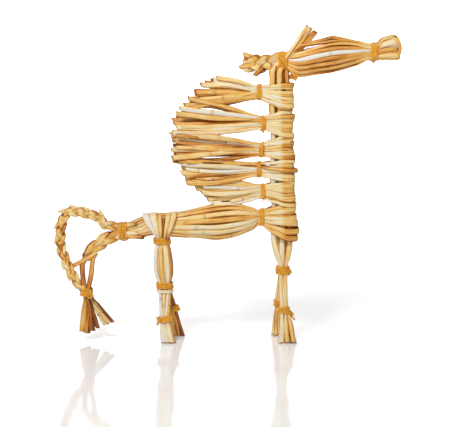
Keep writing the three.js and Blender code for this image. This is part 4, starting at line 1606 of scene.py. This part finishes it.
    def _cut_straws(self, mesh: StemMesh) -> None:
        """Add the straws with cut ends that lie along the top of the head.

        Args:
            mesh: Where the straws are added.
        """
        poll, muzzle = Place.of("poll_tie").middle, Place.of("muzzle_tie").middle
        out = (Z + Y * -1.4).normalized()
        crown = [
            knot(poll.x + 20.5, -2.4, poll.z + 13.6, out, 3.0, 1.8),
            knot(poll.x + 39.5, -2.0, poll.z + 18.0, out, 3.4, 2.0, 0.14),
            knot(poll.x + 41.0, -2.0, poll.z + 17.8, out, 3.6, 2.2),
            knot(muzzle.x - 4, -2.2, muzzle.z + 5.4, out, 3.0, 2.2, -0.1),
            knot(muzzle.x + 2, -2.6, muzzle.z + 5.0, out, 2.8, 2.0),
        ]
        mesh.add(Stem(crown, 0.52, seed=771, start=Cut.SLANTED, joints=(0.27,), crisp=True, groove=0.3))
        top = [
            knot(muzzle.x - 2, -1.5, muzzle.z + 4.6, out, 3.2, 2.2),
            knot(muzzle.x + 4, -1.8, muzzle.z + 6.4, out, 4.2, 2.8),
            knot(muzzle.x + 16.8, -2.4, muzzle.z + 10.8, out, 4.6, 3.2),
        ]
        mesh.add(Stem(top, 0.34, seed=772, end=Cut.OPEN, groove=0.1))
        reach, high, low = 19.8, 9.6, -3.8
        side = -4.2
        wrap = [
            knot(muzzle.x - 2, side * 0.8, muzzle.z + 3.8, Y * -1, 2.6, 1.8),
            knot(muzzle.x + reach * 0.45, side, muzzle.z + high * 0.72, Y * -1, 3.4, 1.8),
            knot(muzzle.x + reach * 0.84, side, muzzle.z + high, Y * -1, 3.2, 1.9),
            knot(muzzle.x + reach, side, mix(muzzle.z + low, muzzle.z + high, 0.62), Y * -1, 2.9, 2.0, 0.12),
            knot(muzzle.x + reach, side, mix(muzzle.z + low, muzzle.z + high, 0.3), Y * -1, 2.9, 2.0, 0.12),
            knot(muzzle.x + reach * 0.86, side, muzzle.z + low, Y * -1, 3.2, 1.9),
            knot(muzzle.x + reach * 0.45, side, muzzle.z + low * 0.9, Y * -1, 3.4, 1.8),
            knot(muzzle.x - 2, side * 0.8, muzzle.z - 3.6, Y * -1, 2.6, 1.8),
        ]
        mesh.add(Stem(wrap, 0.34, seed=775, groove=0.25))


@dataclass
class Plait:
    """A three-strand plait of flat straws along a route."""

    route: list[Vector]
    turns: float
    sway: float
    cross: float
    wide: float
    thick: float

    def strand(self, number: int, layer: int, dice: random.Random) -> list[Knot]:
        """Route of one strand.

        Args:
            number: Which of the three strands.
            layer: Which of the straws laid together in that strand.
            dice: Random numbers for its unevenness.

        Returns:
            The strand's places along the plait.
        """
        points = np.array(self.route, float)
        marks = np.concatenate([[0], np.cumsum(np.linalg.norm(np.diff(points, axis=0), axis=1))])
        marks /= marks[-1]
        steps = int(round(self.turns * 8))
        knots = []
        for i in range(steps + 1):
            share = i / steps
            at = np.array([np.interp(share, marks, points[:, k]) for k in range(3)])
            before = np.array([np.interp(share - 0.01, marks, points[:, k]) for k in range(3)])
            after = np.array([np.interp(share + 0.01, marks, points[:, k]) for k in range(3)])
            tangent = Vector(after - before).normalized()
            lateral = Y.cross(tangent).normalized()
            ramp = smooth(share / 0.1) * smooth((1 - share) / 0.06)
            phase = share * self.turns * 2 * math.pi + number * 2 * math.pi / 3
            wave = 2 / math.pi * math.asin(math.sin(phase) * 0.995)
            place = Vector(at) + lateral * (wave * self.sway * mix(0.35, 1, ramp) + (layer - 0.5) * 0.8)
            place += Y * (math.sin(2 * phase) * self.cross * ramp + (layer - 0.5) * 0.7)
            place += lateral * dice.uniform(-0.22, 0.22)
            out = (Y * -1 + lateral * 0.45 * math.cos(phase)).normalized()
            knots.append(Knot(place, out, self.wide * dice.uniform(0.9, 1.1), self.thick,
                0.1 * math.sin(phase * 0.37 + number)))
        return knots


def follow(origin: Vector, offsets: tuple[tuple[float, float], ...], y: float = 0.0) -> list[Vector]:
    """Smooth route through offsets along X and Z from an origin.

    Args:
        origin: The point the offsets start from.
        offsets: Distances ahead and up, in order.
        y: Sideways place of the whole route at its end.

    Returns:
        Points along the smooth route.
    """
    places = [origin + Vector((x, y * smooth(i / (len(offsets) - 1)), z)) for i, (x, z) in enumerate(offsets)]
    points = []
    last = len(places) - 1
    for i in range(last):
        a, b = places[max(0, i - 1)], places[i]
        c, d = places[i + 1], places[min(last, i + 2)]
        for step in range(8):
            t = step / 8
            square = (2 * a - 5 * b + 4 * c - d) * t**2
            cube = (3 * b - a - 3 * c + d) * t**3
            points.append(0.5 * (2 * b + (c - a) * t + square + cube))
    return points + [places[-1]]


@dataclass
class Tail:
    """Two plaits from the rump that meet in the tail tie and end in a brush."""

    finishes: Finishes
    upper_route: tuple[tuple[float, float], ...] = (
        (5, 3), (-5.5, 3.4), (-14.5, 5.0), (-19.5, 10.4), (-29, 13.8), (-38, 15.6), (-45, 14.2), (-49, 6),
        (-50.4, -5), (-49.4, -14), (-46.6, -24), (-42.6, -33), (-37.2, -42), (-32.2, -49),
    )
    lower_route: tuple[tuple[float, float], ...] = ((5, -3), (-4, -3), (-12, -6.0), (-19, -10.4),
        (-25.6, -15.6), (-31, -22))
    upper_ends: tuple[tuple[float, float, float], ...] = ((-4.2, -31.6, 0.52), (-0.6, -33.0, 0.64),
        (3.4, -31.0, 0.70))
    lower_ends: tuple[tuple[float, float, float], ...] = ((6.6, -29.0, 0.66), (15.4, -27.4, 0.14),
        (18.6, -24.2, 0.58))

    def build(self) -> None:
        """Build the six strands and the tie."""
        rump, tie = Place.of("rump_tie").middle, Place.of("tail_tie").middle
        upper = Plait(follow(rump, self.upper_route, -2.4), 4.6, 2.5, 1.5, 3.6, 1.0)
        lower = Plait(follow(rump, self.lower_route, 1.4), 1.2, 3.4, 1.6, 5.0, 1.1)
        parts = ((Side.near, "upper", upper, self.upper_ends), (Side.far, "lower", lower, self.lower_ends))
        for side, label, plait, ends in parts:
            for number in range(3):
                mesh = StemMesh()
                for layer in range(2):
                    dice = random.Random(810 + number * 2 + layer + side.value * 40)
                    knots = plait.strand(number, layer, dice)
                    tone = (0.34, 0.46, 0.26)[number] + layer * 0.14
                    mesh.add(Stem(knots, tone, seed=830 + number * 3 + layer + side.value, wobble=0.1,
                                  groove=0.25,
                                  crisp=True))
                if side is Side.near:
                    self._spikes(mesh, plait, number)
                self._brush(mesh, tie, ends[number], side, number)
                if label == "lower":
                    self._hanging(mesh, tie, number)
                else:
                    self._stub(mesh, rump, number)
                name = f"tail_{label}_strand_{number + 1}"
                self.finishes.dress(mesh.build(name + "_stems"), name)
        Winding("tail_tie", Vector((0.12, 0, 1)), X, 7, knot_angle=-1.1, tails=(4.0, 3.0), spread=2.0,
                radius=0.6,
                diagonal=True).build(self.finishes)

    def _spikes(self, mesh: StemMesh, plait: Plait, number: int) -> None:
        """Add pointed corners of folded straw along the outside of the upper plait.

        Args:
            mesh: Where the corners are added.
            plait: The upper plait.
            number: Which strand.
        """
        dice = random.Random(850 + number)
        route = plait.route
        for step in range(3):
            share = 0.2 + 0.24 * step + 0.08 * number
            index = int(share * (len(route) - 1))
            ahead = (route[min(len(route) - 1, index + 3)] - route[index]).normalized()
            outer = ahead.cross(Y).normalized() * -1
            root = route[index] + outer * 0.4 - Y * 1.2
            length = dice.uniform(6.5, 9.5)
            tip = root + ahead * length + outer * dice.uniform(3.6, 4.6)
            knots = [
                Knot(root - ahead * 3, Y * -1, 3.0, 1.0),
                Knot(mix(root, tip, 0.45) + outer * 0.5, Y * -1, 3.8, 1.1),
                Knot(tip, Y * -1, 1.2, 0.8),
            ]
            mesh.add(Stem(knots, dice.uniform(0.16, 0.4), seed=855 + number * 4 + step, end=Cut.SLANTED,
                groove=0.3))

    def _brush(self, mesh: StemMesh, tie: Vector, end: tuple[float, float, float], side: Side,
    number: int) -> None:
        """Add the cut ends that stand below the tail tie.

        Args:
            mesh: Where the ends are added.
            tie: The tail tie's middle.
            end: Offset of the tip and its tone.
            side: Near or far side.
            number: Which strand.
        """
        dice = random.Random(860 + number + side.value * 10)
        for layer in range(2):
            tip = tie + Vector((end[0] + layer * 2.0, side.value * (2.6 - layer * 1.4),
                end[1] + layer * dice.uniform(-3, 3)))
            root = tie + Vector((end[0] * 0.18, side.value * (1.6 - layer), 4))
            out = Y * -1
            wide = (4.0, 3.0)[layer] + 1.2 * (number == 1 and side is Side.far)
            knots = [
                Knot(root, out, 2.6, 1.5),
                Knot(tie + Vector((end[0] * 0.2, side.value * 1.6, -4)), out, 2.8, 1.5),
                Knot(mix(tie, tip, 0.5) + X * dice.uniform(-0.8, 0.8), out, wide, 1.9),
                Knot(tip, out, wide, 2.0),
            ]
            mesh.add(Stem(knots, end[2] + layer * 0.12, seed=870 + number * 2 + layer + side.value,
                          end=Cut.SLANTED,
                          groove=0.3, joints=(0.7,) if number == 1 else ()))

    def _hanging(self, mesh: StemMesh, tie: Vector, number: int) -> None:
        """Add the long straws that hang from the plait to the tie, and the short grey one.

        Args:
            mesh: Where the straws are added.
            tie: The tail tie's middle.
            number: Which strand.
        """
        out = Y * -1
        shapes = (
            ([(8.4, 33.0), (5.6, 27.0), (4.4, 16.0), (2.6, 7.0), (1.0, -1.0)], 3.8, 0.58, Cut.HIDDEN),
            ([(1.0, 30.0), (-2.6, 24.0), (-2.2, 12.0), (-1.4, 5.0), (-0.8, -1.0)], 4.3, 0.64, Cut.HIDDEN),
            ([(9.0, 33.4), (4.0, 30.0), (-3.0, 26.0), (-10.0, 22.2)], 3.2, 0.36, Cut.SLANTED),
        )
        offsets, wide, tone, end = shapes[number]
        knots = [Knot(tie + Vector((x, -2.4 - 0.3 * number, z)), out, wide, 1.3) for x, z in offsets]
        mesh.add(Stem(knots, tone, seed=890 + number, end=end, groove=0.35))

    def _stub(self, mesh: StemMesh, rump: Vector, number: int) -> None:
        """Add a straw that ends in a dark cut just before the hips.

        Args:
            mesh: Where the straw is added.
            rump: The rump tie's middle.
            number: Which strand.
        """
        ahead, rise = ((11.4, 6.6), (13.6, -1.4), (16.0, -4.6))[number]
        out = (Y * -1 + Z * 0.2).normalized()
        knots = [
            knot(rump.x - 1, -3.6, rump.z + rise * 0.6, out, 3.4, 1.6),
            knot(rump.x + 5, -5.0, rump.z + rise * 0.8, out, 3.0, 2.0),
            knot(rump.x + ahead, -6.6, rump.z + rise, (out + X * 0.4).normalized(), 2.8, 2.4, 0.25),
        ]
        mesh.add(Stem(knots, (0.42, 0.10, 0.48)[number], seed=896 + number, end=Cut.OPEN, groove=0.1,
            joints=(0.86,)))


@dataclass
class NapePlait:
    """Short flat plait that stands back from the poll, with loose pointed ends."""

    finishes: Finishes
    route: tuple[tuple[float, float], ...] = ((4, 0), (-3, -0.4), (-12, -2.0), (-22, -2.6), (-30, -1.4))
    ends: tuple[tuple[float, float], ...] = ((-30.6, 5.4), (-33.4, -5.4), (-21.5, -11.6))

    def build(self) -> None:
        """Build the three strands."""
        poll = Place.of("poll_tie").middle
        plait = Plait(follow(poll, self.route), 1.25, 4.6, 1.5, 6.2, 1.0)
        for number in range(3):
            mesh = StemMesh()
            for layer in range(2):
                dice = random.Random(610 + number * 2 + layer)
                mesh.add(Stem(plait.strand(number, layer, dice),
                              (0.16, 0.34, 0.24)[number] + 0.1 * layer, seed=620 + number * 2 + layer,
                              wobble=0.1, groove=0.25, crisp=True))
            x, z = self.ends[number]
            out = Y * -1
            tip = poll + Vector((x, -1.0 - 0.4 * number, z))
            root = poll + Vector((x * 0.62, -0.8, z * 0.25 - 1.0))
            knots = [Knot(root, out, 5.2, 1.3), Knot(mix(root, tip, 0.5), out, 4.6, 1.4),
            Knot(tip, out, 3.4, 1.5)]
            mesh.add(Stem(knots, (0.42, 0.5, 0.62)[number], seed=640 + number, end=Cut.SLANTED, groove=0.2))
            name = f"nape_strand_{number + 1}"
            self.finishes.dress(mesh.build(name + "_stems"), name)


# ---------------------------------------------------------------- floor, lights and camera


@dataclass(frozen=True)
class Studio:
    """Bright, plain surroundings and the viewing angle."""

    elevation: float = 8.0
    distance: float = 1.0
    frame_width: float = 0.3605
    lens: float = 100.0
    aim: tuple[float, float, float] = (-0.0022, 0.0, 0.1035)

    def build(self) -> None:
        """Set the floor, the lights and the camera."""
        self._floor()
        self._world()
        self._lamp("key_lamp", (-0.30, -0.70, 0.95), 0.30, 9.0)
        self._lamp("fill_lamp", (0.85, -0.45, 0.35), 0.5, 0.9)
        self._camera()

    def _floor(self) -> None:
        """Pale glossy floor, swept up far behind the horse to fill the view."""
        mesh = bpy.data.meshes.new("floor")
        half, bend, back = 6.0, 1.5, 4.0
        profile = [(-half, 0.0), (back, 0.0)]
        for step in range(1, 17):
            angle = step / 16 * math.pi / 2
            profile.append((back + bend * math.sin(angle), bend * (1 - math.cos(angle))))
        profile.append((back + bend, 4.0))
        points = [(x, y, z - 0.0002) for y, z in profile for x in (-half, half)]
        faces = [(2 * i, 2 * i + 1, 2 * i + 3, 2 * i + 2) for i in range(len(profile) - 1)]
        mesh.from_pydata(points, [], faces)
        mesh.polygons.foreach_set("use_smooth", [True] * len(faces))
        floor = bpy.data.objects.new("floor", mesh)
        bpy.context.scene.collection.objects.link(floor)
        tree = Tree("floor_white")
        cloud = tree.noise(tree.node("TexCoord").outputs["Object"], 3.0, 2.0)
        tree.link(tree.blended(cloud, (0.80, 0.80, 0.80, 1), (0.82, 0.82, 0.82, 1)),
            tree.surface.inputs["Base Color"])
        tree.link(tree.ranged(cloud, 0.0, 1.0, 0.07, 0.10), tree.surface.inputs["Roughness"])
        tree.surface.inputs["Specular IOR Level"].default_value = 0.5
        tree.surface.inputs["Emission Color"].default_value = (1, 1, 1, 1)
        apart = tree.node("SeparateXYZ")
        tree.link(tree.node("TexCoord").outputs["Object"], apart.inputs[0])
        glow = tree.ranged(apart.outputs[1], 0.15, 3.0, 0.22, 1.35)
        tree.link(glow, tree.surface.inputs["Emission Strength"])
        mesh.materials.append(tree.material)

    def _world(self) -> None:
        """Even white light from all round."""
        world = bpy.data.worlds.new("studio")
        bpy.context.scene.world = world
        world.use_nodes = True
        back = world.node_tree.nodes["Background"]
        back.inputs[0].default_value = (1.0, 1.0, 1.0, 1)
        back.inputs[1].default_value = 0.09

    def _lamp(self, name: str, place: tuple[float, float, float], size: float, power: float) -> None:
        """Add one soft square lamp aimed at the horse.

        Args:
            name: The lamp's name.
            place: Where it stands.
            size: Side of its square.
            power: Its strength.
        """
        lamp = bpy.data.lights.new(name, "AREA")
        lamp.size = size
        lamp.energy = power
        holder = bpy.data.objects.new(name, lamp)
        holder.location = place
        holder.rotation_euler = (Vector(self.aim) - Vector(place)).to_track_quat("-Z", "Y").to_euler()
        bpy.context.scene.collection.objects.link(holder)

    def _camera(self) -> None:
        """Set the camera in front of the horse, slightly above it."""
        camera = bpy.data.cameras.new("view")
        camera.lens = self.lens
        camera.sensor_width = self.frame_width / self.distance * self.lens
        holder = bpy.data.objects.new("view", camera)
        tilt = math.radians(self.elevation)
        aim = Vector(self.aim)
        holder.location = aim + Vector((0, -math.cos(tilt), math.sin(tilt))) * self.distance
        holder.rotation_euler = (math.pi / 2 - tilt, 0, 0)
        bpy.context.scene.collection.objects.link(holder)
        bpy.context.scene.camera = holder
        bpy.context.scene.view_settings.view_transform = "Standard"


CHEST_BAND = 28.8
MANE_BANDS = {
    1: (21.4, 0.0, (
        Oddity(50.5, 0.5, -0.6, -6.0, 5.4, 0.60, 0.3),
        Oddity(46.0, 6.2, 2.0, -4.6, 4.2, 0.20, 0.7),
        Oddity(43.0, -9.5, -4.4, -3.0, 3.8, 0.30),
    )),
    2: (20.0, -0.05, (
        Oddity(59.0, 20.0, 4.2, -7.4, 3.6, 0.40, 0.5),
        Oddity(66.0, 12.0, 2.6, -5.0, 3.6, 0.08),
        Oddity(62.0, -11.0, -3.0, -6.6, 3.4, 0.42, 0.2),
    )),
    3: (18.4, 0.02, (
        Oddity(70.5, -6.0, 0.6, -7.4, 4.8, 0.22, 0.42),
        Oddity(66.5, 11.5, 3.6, -7.0, 3.2, 0.52, start=0.42),
        Oddity(70.0, 14.5, 4.0, -5.4, 3.6, 0.36, 0.66),
    )),
    4: (17.6, -0.03, (
        Oddity(58.0, 7.0, 3.0, -6.4, 3.8, 0.54),
        Oddity(64.0, 8.5, 3.8, -4.0, 3.4, 0.30, 0.6),
        Oddity(46.0, -8.6, -3.6, -4.4, 3.2, 0.12),
    )),
    5: (20.0, -0.13, (
        Oddity(56.0, 8.6, 2.6, -6.2, 3.8, 0.44),
        Oddity(48.0, 4.4, 0.8, -5.0, 4.2, 0.02, 0.6),
        Oddity(26.0, -8.0, -3.8, -4.0, 3.0, 0.22),
    )),
}


def main() -> None:
    """Build every sub-assembly in order and report the pieces."""
    finishes = Finishes()
    neck = Neck()
    ForeLegs(neck, finishes).build()
    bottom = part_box("body_straw_1")[0].z / MM + CHEST_BAND - 0.6
    for number in sorted(MANE_BANDS, reverse=True):
        band, shade, oddities = MANE_BANDS[number]
        bundle = ManeBundle(neck, finishes, number, band, bottom, oddities=oddities, shade=shade)
        if number == 4:
            bundle.round_ribbon = 6
        if number == 1:
            bundle.gap, bundle.crest, bundle.top_length = 0.2, -3.0, 0.88
        bundle.build()
        bottom += band
    Barrel(neck, finishes).build()
    HindLegs(finishes).build()
    Head(finishes).build()
    NapePlait(finishes).build()
    Tail(finishes).build()
    Studio().build()
    for piece in bpy.data.objects:
        if piece.type == "MESH" and not piece.get("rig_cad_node"):
            LOG.info("%s: %d faces", piece.name, len(piece.data.polygons))


if __name__ == "__main__":
    logging.basicConfig(level=logging.INFO)
    main()
